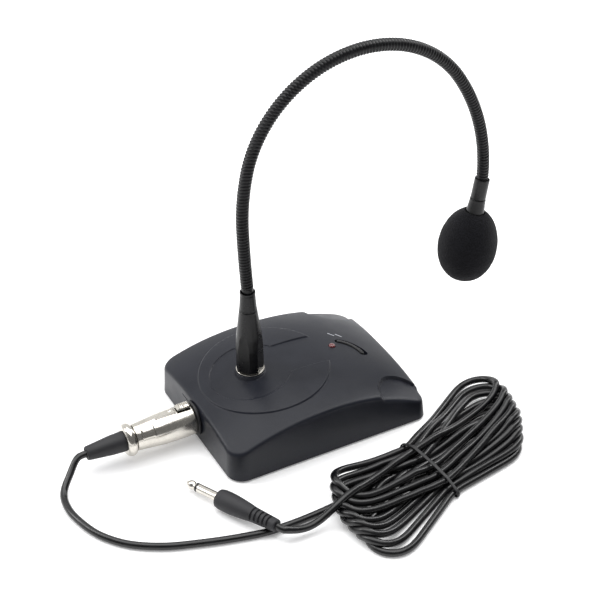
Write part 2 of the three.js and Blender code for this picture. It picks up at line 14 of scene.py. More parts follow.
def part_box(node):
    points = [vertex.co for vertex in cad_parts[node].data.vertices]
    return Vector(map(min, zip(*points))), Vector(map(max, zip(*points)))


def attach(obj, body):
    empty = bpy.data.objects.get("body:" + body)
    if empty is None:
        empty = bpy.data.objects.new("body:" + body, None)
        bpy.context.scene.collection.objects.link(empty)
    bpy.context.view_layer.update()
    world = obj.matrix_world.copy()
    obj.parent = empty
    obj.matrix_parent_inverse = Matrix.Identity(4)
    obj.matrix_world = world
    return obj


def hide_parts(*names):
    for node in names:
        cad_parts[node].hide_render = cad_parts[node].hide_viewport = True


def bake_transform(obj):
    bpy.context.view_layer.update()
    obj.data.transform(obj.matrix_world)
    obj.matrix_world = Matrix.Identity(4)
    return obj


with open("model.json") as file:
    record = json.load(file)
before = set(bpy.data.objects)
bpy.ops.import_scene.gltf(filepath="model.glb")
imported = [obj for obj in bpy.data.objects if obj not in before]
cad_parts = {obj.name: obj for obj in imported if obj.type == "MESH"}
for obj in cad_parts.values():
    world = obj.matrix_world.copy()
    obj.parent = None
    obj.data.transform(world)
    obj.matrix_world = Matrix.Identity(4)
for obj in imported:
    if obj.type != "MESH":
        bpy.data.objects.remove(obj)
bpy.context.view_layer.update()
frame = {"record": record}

MM = 0.001
NECK_X = -30.0  # the neck stands this far behind the middle of the base
washer_low, washer_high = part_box("neck_washer")
SHIFT = (washer_low[0] + washer_high[0]) / 2 / MM - NECK_X


def at(x, y, z):
    """A point given in millimetres from the middle of the base, in the frame's metres."""
    return Vector(((x + SHIFT) * MM, y * MM, z * MM))


# ---- camera and stage
CAMERA_AT = at(-403.0, -790.0, 718.6)
CAMERA_AZIMUTH = math.radians(27.57)
CAMERA_ELEVATION = math.radians(35.35)
CAMERA_ROLL = math.radians(-0.72)
LENS = 95.8


def make_camera():
    data = bpy.data.cameras.new("camera")
    data.lens = LENS
    data.sensor_width = 36.0
    camera = bpy.data.objects.new("camera", data)
    bpy.context.scene.collection.objects.link(camera)
    az, el = CAMERA_AZIMUTH, CAMERA_ELEVATION
    back = Vector((-math.sin(az) * math.cos(el), -math.cos(az) * math.cos(el), math.sin(el)))
    level = Vector((math.cos(az), -math.sin(az), 0))
    rise = back.cross(level)
    right = level * math.cos(CAMERA_ROLL) + rise * math.sin(CAMERA_ROLL)
    up = back.cross(right)
    turn = Matrix((right, up, back)).transposed().to_4x4()
    camera.matrix_world = Matrix.Translation(CAMERA_AT) @ turn
    bpy.context.scene.camera = camera


def area_light(name, place, target, size, power):
    data = bpy.data.lights.new(name, "AREA")
    data.shape = "RECTANGLE"
    data.size, data.size_y = size
    data.energy = power
    lamp = bpy.data.objects.new(name, data)
    lamp.location = place
    lamp.rotation_euler = (Vector(target) - Vector(place)).to_track_quat("-Z", "Y").to_euler()
    bpy.context.scene.collection.objects.link(lamp)


def make_stage():
    scene = bpy.context.scene
    scene.view_settings.view_transform = "Standard"
    scene.view_settings.look = "None"
    world = bpy.data.worlds.new("studio")
    world.use_nodes = True
    tree = world.node_tree
    sky = tree.nodes["Background"]
    sky.inputs["Color"].default_value = (1, 1, 1, 1)
    coords = tree.nodes.new("ShaderNodeTexCoord")
    split = tree.nodes.new("ShaderNodeSeparateXYZ")
    glow = tree.nodes.new("ShaderNodeMapRange")  # brighter at the far side of the room
    glow.interpolation_type = "SMOOTHSTEP"
    for name, value in (("From Min", -0.4), ("From Max", 0.95), ("To Min", 0.2), ("To Max", 1.0)):
        glow.inputs[name].default_value = value
    tree.links.new(coords.outputs["Generated"], split.inputs[0])
    tree.links.new(split.outputs["Y"], glow.inputs["Value"])
    tree.links.new(glow.outputs["Result"], sky.inputs["Strength"])
    scene.world = world

    bpy.ops.mesh.primitive_plane_add(size=14, location=(0, 0, 0))
    floor = bpy.context.object
    floor.name = "floor"
    material = bpy.data.materials.new("floor_paper")
    material.use_nodes = True
    bsdf = material.node_tree.nodes["Principled BSDF"]
    bsdf.inputs["Base Color"].default_value = (0.9, 0.9, 0.905, 1)
    bsdf.inputs["Roughness"].default_value = 0.75
    bsdf.inputs["Specular IOR Level"].default_value = 0.2
    bsdf.inputs["Emission Color"].default_value = (1, 1, 1, 1)  # lit from below, as a light table
    bsdf.inputs["Emission Strength"].default_value = 0.22
    floor.data.materials.append(material)

    area_light("softbox_top", (0.1, 0.1, 2.6), (0, 0, 0), (3.0, 2.6), 72)
    area_light("strip_left", (-1.15, 0.75, 1.15), (-0.05, 0, 0.1), (0.35, 1.1), 11)
    area_light("strip_right", (1.2, 0.3, 1.0), (0.05, 0, 0.1), (0.35, 1.1), 9)


# ---- materials
class Nodes:
    """Short spellings for building one material."""

    def __init__(self, name):
        self.material = bpy.data.materials.new(name)
        self.material.use_nodes = True
        self.tree = self.material.node_tree
        self.shader = self.tree.nodes["Principled BSDF"]
        self.coords = self.tree.nodes.new("ShaderNodeTexCoord").outputs["Object"]

    def add(self, kind, **inputs):
        node = self.tree.nodes.new(kind)
        for key, value in inputs.items():
            name = key.replace("_", " ")
            if name in node.inputs:
                self.put(node.inputs[name], value)
            else:
                setattr(node, key, value)
        return node

    def put(self, socket, value):
        if isinstance(value, bpy.types.NodeSocket):
            self.tree.links.new(value, socket)
        else:
            socket.default_value = value

    def noise(self, scale, detail=3.0, rough=0.55):
        node = self.add("ShaderNodeTexNoise", Vector=self.coords, Scale=scale, Detail=detail,
                        Roughness=rough)
        return node.outputs["Fac"]

    def cells(self, scale, feature="F1"):
        node = self.add("ShaderNodeTexVoronoi", Vector=self.coords, Scale=scale, feature=feature)
        return node.outputs["Distance"]

    def remap(self, value, a, b, low, high):
        node = self.add("ShaderNodeMapRange", Value=value, From_Min=a, From_Max=b, To_Min=low,
                        To_Max=high)
        return node.outputs["Result"]

    def mix(self, factor, a, b):
        node = self.tree.nodes.new("ShaderNodeMix")
        node.data_type = "RGBA"
        self.put(node.inputs["Factor"], factor)
        self.put(node.inputs[6], a)
        self.put(node.inputs[7], b)
        return node.outputs[2]

    def bump(self, height, distance, strength=1.0, after=None):
        node = self.add("ShaderNodeBump", Height=height, Strength=strength)
        node.inputs["Distance"].default_value = distance
        if after is not None:
            self.put(node.inputs["Normal"], after)
        return node.outputs["Normal"]

    def finish(self, **sockets):
        for key, value in sockets.items():
            self.put(self.shader.inputs[key.replace("_", " ")], value)
        return self.material


def rgb(r, g, b):
    """A colour given as display values from 0 to 255."""
    linear = [((v / 255 + 0.055) / 1.055) ** 2.4 if v > 10 else v / 255 / 12.92 for v in (r, g, b)]
    return (*linear, 1.0)


def moulded(name, dark, light, rough, grain=1500.0, depth=0.00006, shine=0.5):
    """Moulded plastic with a fine spark-eroded grain."""
    n = Nodes(name)
    cloud = n.noise(45.0, 4.0, 0.6)
    fine = n.noise(grain, 2.0, 0.7)
    tint = n.mix(n.remap(cloud, 0.3, 0.7, 0.0, 1.0), dark, light)
    tint = n.mix(n.remap(fine, 0.35, 0.75, 0.0, 0.5), tint, light)
    bump = n.bump(fine, depth, 0.7)
    bump = n.bump(n.cells(grain * 0.5), depth, 0.35, after=bump)
    return n.finish(
        Base_Color=tint,
        Roughness=n.remap(cloud, 0.3, 0.7, rough - 0.05, rough + 0.06),
        Specular_IOR_Level=shine,
        Normal=bump,
    )


def coated_metal(name, color, light, rough, metal=0.0):
    n = Nodes(name)
    cloud = n.noise(120.0, 5.0, 0.6)
    fine = n.noise(2600.0, 2.0, 0.6)
    tint = n.mix(n.remap(cloud, 0.35, 0.7, 0.0, 1.0), color, light)
    return n.finish(
        Base_Color=tint,
        Metallic=metal,
        Specular_IOR_Level=0.32,
        Roughness=n.remap(cloud, 0.3, 0.7, rough - 0.05, rough + 0.07),
        Normal=n.bump(fine, 0.00002, 0.5),
    )


def plated(name, color, shade, rough):
    """Nickel or zinc plate with faint wipe marks."""
    n = Nodes(name)
    cloud = n.noise(160.0, 5.0, 0.65)
    smudge = n.noise(28.0, 3.0, 0.5)
    tint = n.mix(n.remap(cloud, 0.4, 0.75, 0.0, 0.8), color, shade)
    return n.finish(
        Base_Color=tint,
        Metallic=1.0,
        Roughness=n.remap(smudge, 0.3, 0.7, rough, rough + 0.09),
        Normal=n.bump(cloud, 0.00002, 0.25),
    )


def soft_black(name, color, light, rough, grain=900.0, depth=0.00005):
    """Rubber and cable jacket."""
    n = Nodes(name)
    cloud = n.noise(70.0, 4.0, 0.6)
    fine = n.noise(grain, 3.0, 0.7)
    tint = n.mix(n.remap(cloud, 0.3, 0.75, 0.0, 1.0), color, light)
    return n.finish(
        Base_Color=tint,
        Roughness=n.remap(cloud, 0.3, 0.7, rough - 0.06, rough + 0.08),
        Normal=n.bump(fine, depth, 0.5),
    )


def foam_material():
    """Open-cell foam: each pore is bumped in, with painted shade darkening it against the paler
    struts.
    """
    n = Nodes("foam")
    pore_cells_and_shade = n.cells(1150.0)
    wide = n.noise(240.0, 4.0, 0.7)
    # painted shade: the tint goes dark in each pore hollow where the bump sinks
    tint = n.mix(n.remap(pore_cells_and_shade, 0.1, 0.65, 0.0, 1.0), rgb(3, 3, 4), rgb(22, 22, 26))
    bump = n.bump(pore_cells_and_shade, 0.00035, 0.9)
    bump = n.bump(wide, 0.0004, 0.5, after=bump)
    return n.finish(
        Base_Color=tint,
        Roughness=0.97,
        Specular_IOR_Level=0.1,
        Sheen_Weight=0.05,
        Sheen_Roughness=0.6,
        Normal=bump,
    )


def lens_material():
    n = Nodes("red_lens")
    cloud = n.noise(300.0, 2.0, 0.5)
    tint = n.mix(cloud, rgb(70, 8, 14), rgb(105, 14, 20))
    return n.finish(Base_Color=tint, Roughness=0.16, Coat_Weight=0.6, Coat_Roughness=0.05)


def board_material():
    n = Nodes("board")
    tracks = n.cells(260.0, "DISTANCE_TO_EDGE")
    tint = n.mix(n.remap(tracks, 0.02, 0.06, 1.0, 0.0), rgb(22, 74, 44), rgb(40, 104, 62))
    return n.finish(Base_Color=tint, Roughness=0.35, Normal=n.bump(tracks, 0.00005, 0.5))


def wrap_material():
    """Film around a dry cell: a plain two-tone sleeve."""
    n = Nodes("cell_wrap")
    split = n.add("ShaderNodeSeparateXYZ", Vector=n.coords)
    along = n.remap(split.outputs["X"], -0.0455, -0.0445, 0.0, 1.0)
    tint = n.mix(along, rgb(30, 70, 120), rgb(186, 148, 66))
    tint = n.mix(n.remap(n.noise(400.0), 0.4, 0.8, 0.0, 0.3), tint, rgb(120, 120, 124))
    return n.finish(Base_Color=tint, Roughness=0.32, Metallic=0.35)


def make_materials():
    return {
        "base_shell": moulded("base_shell", rgb(20, 22, 30), rgb(28, 30, 38), 0.36, shine=0.24),
        "black_plastic": moulded("black_plastic", rgb(13, 13, 15), rgb(22, 22, 25), 0.5, 1100.0),
        "black_metal": coated_metal("black_metal", rgb(6, 6, 8), rgb(12, 12, 14), 0.3),
        "neck_black": coated_metal("neck_black", rgb(8, 8, 10), rgb(18, 18, 21), 0.3),
        "nickel": plated("nickel", rgb(214, 210, 202), rgb(190, 186, 178), 0.16),
        "steel": plated("steel", rgb(150, 152, 154), rgb(120, 122, 124), 0.34),
        "foam": foam_material(),
        "rubber": soft_black("rubber", rgb(25, 25, 28), rgb(34, 34, 38), 0.6),
        "lead_skin": soft_black("lead_skin", rgb(6, 6, 8), rgb(12, 12, 14), 0.27, 1400.0, 0.00002),
        "red_lens": lens_material(),
        "board": board_material(),
        "cell_wrap": wrap_material(),
        "print_grey": moulded("print_grey", rgb(150, 152, 158), rgb(170, 172, 178), 0.6),
    }


# ---- mesh helpers
def face_outwards(mesh):
    bm = bmesh.new()
    bm.from_mesh(mesh)
    bmesh.ops.recalc_face_normals(bm, faces=bm.faces)
    bm.to_mesh(mesh)
    bm.free()


def make_piece(name, verts, faces, slot, body=None, replaces=(), smooth=True, material=None):
    """A mesh piece from points in millimetres about the middle of the base."""
    mesh = bpy.data.meshes.new(name)
    mesh.from_pydata([at(*v) for v in verts], [], faces)
    mesh.validate()
    face_outwards(mesh)
    if smooth:
        mesh.polygons.foreach_set("use_smooth", [True] * len(mesh.polygons))
    mesh.materials.append(material or MATERIALS[slot])
    piece = bpy.data.objects.new(name, mesh)
    bpy.context.scene.collection.objects.link(piece)
    if body:
        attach(piece, body)
    if replaces:
        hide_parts(*replaces)
    return piece


def sharpen(piece, degrees=35.0):
    """Keeps edges sharper than this crisp and shades the rest smooth."""
    bm = bmesh.new()
    bm.from_mesh(piece.data)
    limit = math.radians(degrees)
    for edge in bm.edges:
        if len(edge.link_faces) == 2:
            edge.smooth = edge.calc_face_angle(0.0) < limit
    bm.to_mesh(piece.data)
    bm.free()


def axes_of(direction):
    """Two directions square to an axis, and the axis."""
    w = Vector(direction).normalized()
    ref = Vector((0, 0, 1)) if abs(w.z) < 0.9 else Vector((0, 1, 0))
    u = ref.cross(w).normalized()
    return w.cross(u), -u, w


def lathe(profile, origin=(0, 0, 0), direction=(0, 0, 1), sides=64, radius=None):
    """Points and faces of a turned solid. The profile is [radius, distance] from axis to axis
    or closed; radius(r, distance, angle) may change it."""
    u, v, w = axes_of(direction)
    origin = Vector(origin)
    closed = profile[0] == profile[-1]
    rows = profile[:-1] if closed else profile
    verts, rings = [], []
    for r, d in rows:
        if r < 1e-6:
            rings.append([len(verts)])
            verts.append(origin + w * d)
            continue
        ring = []
        for i in range(sides):
            a = 2 * math.pi * i / sides
            rr = radius(r, d, a) if radius else r
            ring.append(len(verts))
            verts.append(origin + w * d + (u * math.cos(a) + v * math.sin(a)) * rr)
        rings.append(ring)
    faces = []
    pairs = list(zip(rings, rings[1:])) + ([(rings[-1], rings[0])] if closed else [])
    for low, high in pairs:
        for i in range(sides):
            j = (i + 1) % sides
            if len(low) == 1 and len(high) == 1:
                continue
            if len(low) == 1:
                faces.append((low[0], high[j], high[i]))
            elif len(high) == 1:
                faces.append((low[i], low[j], high[0]))
            else:
                faces.append((low[i], low[j], high[j], high[i]))
    return verts, faces


def eased(profile, radius, steps=3):
    """Rounds the inner corners of a profile with small arcs."""
    out = [profile[0]]
    for before, here, after in zip(profile, profile[1:], profile[2:]):
        a, b, c = Vector(before), Vector(here), Vector(after)
        r = min(radius, (a - b).length * 0.45, (c - b).length * 0.45)
        if r < 0.02:
            out.append(here)
            continue
        p, q = b + (a - b).normalized() * r, b + (c - b).normalized() * r
        for i in range(steps + 1):
            t = i / steps
            out.append(tuple(p * (1 - t) ** 2 + b * 2 * t * (1 - t) + q * t * t))
    out.append(profile[-1])
    return out


def ring_eased(profile, radius):
    """eased() for a profile that closes on itself."""
    body = eased(profile, radius)
    return body[:-1] + [body[0]]


def refined(profile, parts_between):
    """Adds rows to a profile: each stretch is split into parts_between(d0, d1) parts."""
    out = []
    for (r0, d0), (r1, d1) in zip(profile, profile[1:]):
        parts = parts_between(d0, d1)
        out += [(r0 + (r1 - r0) * k / parts, d0 + (d1 - d0) * k / parts) for k in range(parts)]
    return out + [tuple(profile[-1])]


def turned(name, profile, place, sides, slot, body, node, crisp=30, radius=None):
    """A turned piece that replaces a CAD node; place is where its axis starts and its heading."""
    piece = make_piece(name, *lathe(profile, *place, sides, radius), slot, body, [node])
    sharpen(piece, crisp)


def grid_faces(rows, columns, around=False, looped=False):
    """Quads between rows of points. "around" joins the ends of each row, and "looped" joins the
    last row to the first."""
    faces = []
    for i in range(rows if looped else rows - 1):
        a, b = i * columns, (i + 1) % rows * columns
        for k in range(columns if around else columns - 1):
            j = (k + 1) % columns
            faces.append((a + k, a + j, b + j, b + k))
    return faces


def bar_faces(rows, columns):
    """Faces of a solid bar: closed rows of points and a cap at each end."""
    last = (rows - 1) * columns
    caps = [tuple(range(columns)), tuple(range(last + columns - 1, last - 1, -1))]
    return grid_faces(rows, columns, around=True) + caps


def smoothstep(t):
    t = min(max(t, 0.0), 1.0)
    return t * t * (3 - 2 * t)


def rotated(x, y, angle):
    c, s = math.cos(angle), math.sin(angle)
    return x * c - y * s, x * s + y * c


def circle(cx, cy, r, count):
    """Points round a circle in plan."""
    angles = [2 * math.pi * i / count for i in range(count)]
    return [(cx + r * math.cos(a), cy + r * math.sin(a)) for a in angles]


# ---- base housing
BASE_REAR, BASE_FRONT, BASE_SIDE = 73.95, 77.5, 62.0
CORNER_REAR, CORNER_FRONT = 11.5, 8.0
RIM_Z, RIM_LIP = 1.0, 0.5
EDGE_ROUND = 2.2  # rounding between the top and the walls
DRAFT_REAR, DRAFT_FRONT, DRAFT_SIDE, DRAFT_SIDE_FRONT = 0.03, 0.04, 0.06, 0.13
DISC_X, DISC_R, PANEL_STEP = -19.5, 46.0, 0.9
KEYHOLE_R, CHANNEL_HALF = 28.5, 16.0
PAD_X, PAD_Y, PAD_R, PAD_DEPTH = 61.0, 57.0, 18.5, 2.4
SEAT_R, SEAT_Z = 10.6, 41.7
STEP_SOFT = 0.9  # plan width of a moulded step, rounding included
LED_X, LED_R = 34.5, 2.4
SWITCH_AT = (49.5, -2.0)
SWITCH_ARC_R, SWITCH_HALF_WIDTH, SWITCH_TRAVEL = 20.0, 1.5, 2.0
SWITCH_HALF_SPAN, SWITCH_TURN = math.radians(30), math.radians(33)
SLOT_CLEAR = 0.65  # between the thumb piece and the slot's edge
SIDE_SHARE = 0.42  # of the slot's outline points, along each side; the rest go round its ends
SHELL_THICK = 2.2
SOCKET_Z = 15.8
REAR_X = -BASE_REAR + DRAFT_REAR * SOCKET_Z


def crown(x, y):
    """Height of the plain crowned top."""
    return 41.8 - 14.6 * (abs(x + 4) / 71.5) ** 2.2 - 7 * (abs(y) / 57.5) ** 2.4


def keyhole_depth(x, y):
    """How far a point lies inside the keyhole outline about the neck."""
    ring = KEYHOLE_R - math.hypot(x - NECK_X, y)
    channel = min(CHANNEL_HALF - abs(y), x - NECK_X)
    return max(ring, channel)


def top_height(x, y):
    """Height of the moulded top with its panels, seat and corner reliefs."""
    z = crown(x, y)
    disc = DISC_R - math.hypot(x - DISC_X, y)
    raised = min(disc, -keyhole_depth(x, y))
    z += PANEL_STEP * smoothstep(raised / STEP_SOFT + 0.5)
    pad = PAD_R - math.hypot(x - PAD_X, abs(y) - PAD_Y)
    z -= PAD_DEPTH * smoothstep(pad / STEP_SOFT + 0.5)
    seat = smoothstep((SEAT_R - math.hypot(x - NECK_X, y)) / 0.8 + 0.5)
    return z + (SEAT_Z - z) * seat


def wall_point(p, z):
    """A point of the outline at the table, moved up the leaning wall to height z."""
    t = min(max((p[0] / (BASE_REAR - CORNER_REAR) + 1) / 2, 0), 1)
    lean = -DRAFT_REAR + (DRAFT_REAR + DRAFT_FRONT) * t
    side = DRAFT_SIDE + (DRAFT_SIDE_FRONT - DRAFT_SIDE) * t
    across = min(max(p[1] / (BASE_SIDE - CORNER_REAR), -1), 1) * side
    return (p[0] - lean * z, p[1] - across * z)


def base_outline(step):
    """Points and outward normals around the base at the table, about "step" mm apart."""
    points = []
    for end, up, r, start in ((BASE_FRONT, 1, CORNER_FRONT, 0), (-BASE_REAR, 1, CORNER_REAR, 90),
                              (-BASE_REAR, -1, CORNER_REAR, 180),
                              (BASE_FRONT, -1, CORNER_FRONT, 270)):
        cx, cy = end - math.copysign(r, end), up * (BASE_SIDE - r)
        steps = int(r * math.pi / 2 / step * 1.6)
        for i in range(steps + 1):
            a = math.radians(start + 90 * i / steps)
            points.append((cx + r * math.cos(a), cy + r * math.sin(a), math.cos(a), math.sin(a)))
    out = []
    for p, q in zip(points, points[1:] + points[:1]):
        out.append(p)
        gap = math.hypot(q[0] - p[0], q[1] - p[1])
        parts = int(gap / step) if gap > 2 * step else 1
        for i in range(1, parts):
            t = i / parts
            out.append((p[0] + (q[0] - p[0]) * t, p[1] + (q[1] - p[1]) * t, p[2], p[3]))
    return out


def arc_distance(x, y):
    """Distance from the middle line of the crescent switch."""
    x, y = rotated(x - SWITCH_AT[0], y - SWITCH_AT[1], -SWITCH_TURN)
    x += SWITCH_ARC_R
    a = min(max(math.atan2(y, x), -SWITCH_HALF_SPAN), SWITCH_HALF_SPAN)
    return math.hypot(x - SWITCH_ARC_R * math.cos(a), y - SWITCH_ARC_R * math.sin(a))


def slot_gap(x, y):
    """Distance to the edge of the switch's slot, below 0 inside it."""
    travel = [arc_distance(x - SWITCH_TRAVEL * k / 4, y) for k in range(5)]
    return min(travel) - SWITCH_HALF_WIDTH - SLOT_CLEAR


def switch_point(angle, off):
    """A point on the crescent, "off" mm outwards from its middle line."""
    r = SWITCH_ARC_R + off
    x, y = rotated(r * math.cos(angle) - SWITCH_ARC_R, r * math.sin(angle), SWITCH_TURN)
    return (SWITCH_AT[0] + x, SWITCH_AT[1] + y)


def slot_outline(gap, count=72):
    """The slot's edge, found along rays square to the crescent and round its ends."""
    out = []
    for i in range(count):
        side = 1 if i < count / 2 else -1
        part = i / count - (0 if side > 0 else 0.5)
        along = min(part / SIDE_SHARE, 1)
        turn = math.pi * max(part - SIDE_SHARE, 0) / (0.5 - SIDE_SHARE)
        angle = side * SWITCH_HALF_SPAN * (2 * along - 1)
        x, y = switch_point(angle, 0)
        px, py = switch_point(angle, side)
        dx, dy = rotated(px - x, py - y, turn)
        x += SWITCH_TRAVEL / 2
        low, high = 0.0, 9.0
        for _ in range(26):
            mid = (low + high) / 2
            if slot_gap(x + dx * mid, y + dy * mid) < gap:
                low = mid
            else:
                high = mid
        out.append((x + dx * low, y + dy * low))
    return out


def top_points():
    """Plan points of the top surface: rows along each moulded step and a loose grid between."""
    points = []
    rows = [k * STEP_SOFT for k in (-0.85, -0.5, -0.25, 0.0, 0.25, 0.5, 0.85)]

    def ridge(cx, cy, r, keep=lambda x, y: True, step=1.0):
        count = int(2 * math.pi * r / step)
        for off in rows:
            points.extend(p for p in circle(cx, cy, r - off, count) if keep(*p))

    ridge(DISC_X, 0, DISC_R)
    ridge(NECK_X, 0, KEYHOLE_R, lambda x, y: x < NECK_X or abs(y) > CHANNEL_HALF - 1)
    ridge(NECK_X, 0, SEAT_R, step=0.8)
    for side in (1, -1):
        ridge(PAD_X, side * PAD_Y, PAD_R, lambda x, y: abs(x) < 80)
        for off in rows:
            x = NECK_X + math.sqrt(KEYHOLE_R**2 - CHANNEL_HALF**2)
            while x < DISC_X + DISC_R - 1.5:
                points.append((x, side * (CHANNEL_HALF - off)))
                x += 1.0
    for gap in (0.35, 0.8, 1.6):
        points += slot_outline(gap)
    for r in (LED_R + 0.65, LED_R + 1.3):
        points += circle(LED_X, 0, r, 40)
    grid = 2.2
    points += [(i * grid + 0.31, j * grid + 0.17) for i in range(-34, 35) for j in range(-28, 29)]
    return points


def in_switch(x, y, gap):
    """Whether a point lies within this distance of the switch's slot."""
    nearby = abs(x - SWITCH_AT[0]) < 16 and abs(y - SWITCH_AT[1]) < 16
    return nearby and slot_gap(x, y) < gap


def top_edge(x, y):
    """Where the leaning wall above this point of the outline would meet the top."""
    z = 30.0
    for _ in range(40):
        z = 0.5 * z + 0.5 * top_height(*wall_point((x, y), z))
    return (*wall_point((x, y), z), z)


def inside(loop, x, y, margin=0.0):
    """Whether a point lies within a closed outline, and this far from its points."""
    keep = False
    for (xi, yi), (xj, yj) in zip(loop, loop[-1:] + loop[:-1]):
        if (yi > y) != (yj > y) and x < (xj - xi) * (y - yi) / (yj - yi) + xi:
            keep = not keep
    if not keep or not margin:
        return keep
    return min((x - a) ** 2 + (y - b) ** 2 for a, b in loop) > margin**2


def top_skin(hull):
    """The moulded top as a mesh within its outline, with holes for the lamp and the switch, and
    the indices of the points along the outline."""
    coords, edges = [], []
    for loop in (hull, slot_outline(0.0), circle(LED_X, 0, LED_R + 0.25, 32)):
        start = len(coords)
        coords += [Vector(p) for p in loop]
        edges += [(start + i, start + (i + 1) % len(loop)) for i in range(len(loop))]

    def cell(x, y):
        """The small square that a point falls in, which holds one point at most."""
        return (round(x / 0.3), round(y / 0.3))

    taken = {cell(*p) for p in coords}
    for x, y in top_points():
        blocked = in_switch(x, y, 0.25) or math.hypot(x - LED_X, y) < LED_R + 0.5
        if blocked or not inside(hull, x, y, 0.5) or cell(x, y) in taken:
            continue
        taken.add(cell(x, y))
        coords.append(Vector((x, y)))
    points, _, triangles, sources, _, _ = delaunay_2d_cdt(coords, edges, [], 0, 1e-5)

    faces = []
    for tri in triangles:
        x, y = (sum(points[i][k] for i in tri) / 3 for k in (0, 1))
        hole = math.hypot(x - LED_X, y) < LED_R + 0.2 or in_switch(x, y, -0.02)
        if inside(hull, x, y) and not hole:
            faces.append(tuple(tri))
    finder = {source: index for index, group in enumerate(sources) for source in group}
    verts = [(x, y, top_height(x, y)) for x, y in points]
    return verts, faces, [finder[i] for i in range(len(hull))]


def wall_rows(outline, edge, hull):
    """Rows of points down the rounded edge and the leaning wall to the rim."""
    rows = []
    for t in (0.2, 0.4, 0.6, 0.8, 1.0):
        row = []
        for p, e, q in zip(outline, edge, hull):
            z = e[2] - EDGE_ROUND
            a, b = Vector((*q, top_height(*q))), Vector(e)
            c = Vector((*wall_point(p, z), z))
            row.append(tuple(a * (1 - t) ** 2 + b * 2 * t * (1 - t) + c * t * t))
        rows.append(row)
    for t in (0.12, 0.3, 0.5, 0.7, 0.88, 1.0):
        heights = [(e[2] - EDGE_ROUND) * (1 - t) + (RIM_Z + RIM_LIP) * t for e in edge]
        rows.append([(*wall_point(p, z), z) for p, z in zip(outline, heights)])
    rim = []
    for x, y, nx, ny in outline:
        wx, wy = wall_point((x, y), RIM_Z)
        rim.append((wx - nx * RIM_LIP, wy - ny * RIM_LIP, RIM_Z))
    return rows + [rim]


def make_base_shell():
    outline = base_outline(1.3)
    edge = [top_edge(x, y) for x, y, _, _ in outline]
    hull = [(e[0] - nx * EDGE_ROUND, e[1] - ny * EDGE_ROUND)
            for e, (_, _, nx, ny) in zip(edge, outline)]
    verts, faces, upper = top_skin(hull)
    count = len(outline)
    for row in wall_rows(outline, edge, hull):
        lower = range(len(verts), len(verts) + count)
        verts += row
        for i in range(count):
            j = (i + 1) % count
            faces.append((upper[i], lower[i], lower[j], upper[j]))
        upper = lower

    shell = make_piece("base_housing", verts, faces, "base_shell")
    thicken(shell, SHELL_THICK, -1)
    bore = cutter("socket_bore", *lathe([[0, -8], [10.8, -8], [10.8, 14], [0, 14]],
                                        (REAR_X, 0, SOCKET_Z), (1, 0, 0), 64))
    slit = cutter("slit", *block(-76, -72.5, 8, 20.4, 21.75, 22.45))
    cut_away(shell, bore, slit)
    sharpen(shell, 38)
    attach(shell, "base")
    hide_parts("base_top_cover")


def block(x0, x1, y0, y1, z0, z1):
    verts = [(x, y, z) for z in (z0, z1) for y in (y0, y1) for x in (x0, x1)]
    faces = [(0, 2, 3, 1), (4, 5, 7, 6), (0, 1, 5, 4), (2, 6, 7, 3), (0, 4, 6, 2), (1, 3, 7, 5)]
    return verts, faces


def cutter(name, verts, faces):
    mesh = bpy.data.meshes.new(name)
    mesh.from_pydata([at(*v) for v in verts], [], faces)
    face_outwards(mesh)
    tool = bpy.data.objects.new(name, mesh)
    bpy.context.scene.collection.objects.link(tool)
    return tool


def bake_modifiers(piece):
    """Replaces a piece's mesh by the result of its modifiers."""
    graph = bpy.context.evaluated_depsgraph_get()
    mesh = bpy.data.meshes.new_from_object(piece.evaluated_get(graph), depsgraph=graph)
    piece.modifiers.clear()
    old = piece.data
    piece.data = mesh
    bpy.data.meshes.remove(old)
    mesh.polygons.foreach_set("use_smooth", [True] * len(mesh.polygons))


def thicken(piece, thickness, offset):
    wall = piece.modifiers.new("wall", "SOLIDIFY")
    wall.thickness = thickness * MM
    wall.offset = offset


def cut_away(piece, *tools):
    """Cuts solids out of a piece, and removes them."""
    for tool in tools:
        cut = piece.modifiers.new("cut", "BOOLEAN")
        cut.operation = "DIFFERENCE"
        cut.solver = "EXACT"
        cut.object = tool
    bake_modifiers(piece)
    for tool in tools:
        bpy.data.objects.remove(tool)


def make_lamp():
    z = crown(LED_X, 0)
    profile = [[0, z - 4], [LED_R, z - 4], [LED_R, z + 0.1]]
    profile += [[LED_R * math.cos(a), z + 0.1 + 1.5 * math.sin(a)]
                for a in (math.radians(k * 10) for k in range(1, 9))]
    profile.append([0, z + 1.6])
    verts, faces = lathe(profile, (LED_X, 0, 0), (0, 0, 1), 32)
    make_piece("lamp", verts, faces, "red_lens", "base", ["led"])


def make_switch():
    """Crescent thumb piece with fine ribs across it."""
    steps, across = 132, 8
    base_z = crown(*SWITCH_AT) - 3.0
    verts = []
    for i in range(steps + 1):
        t = i / steps
        angle = SWITCH_HALF_SPAN * 1.07 * (2 * t - 1)
        end = min(1.0, min(t, 1 - t) * 14)
        half = SWITCH_HALF_WIDTH * math.sqrt(max(1 - (1 - end) ** 2, 0.02))
        rib = 0.22 * (0.5 + 0.5 * math.cos(t * 22 * 2 * math.pi)) * min(1, min(t, 1 - t) * 20)
        for k in range(across + 1):
            off = half * (2 * k / across - 1)
            x, y = switch_point(angle, off)
            swell = 1.25 * (1 - abs(2 * k / across - 1) ** 4) * (0.55 + 0.45 * end)
            verts.append((x, y, crown(x, y) - 0.1 + swell - rib))
        for off in (half, -half):
            x, y = switch_point(angle, off)
            verts.append((x, y, base_z))
    faces = bar_faces(steps + 1, across + 3)
    piece = make_piece("switch_thumb", verts, faces, "black_plastic", "switch", ["switch_slider"])
    sharpen(piece, 50)


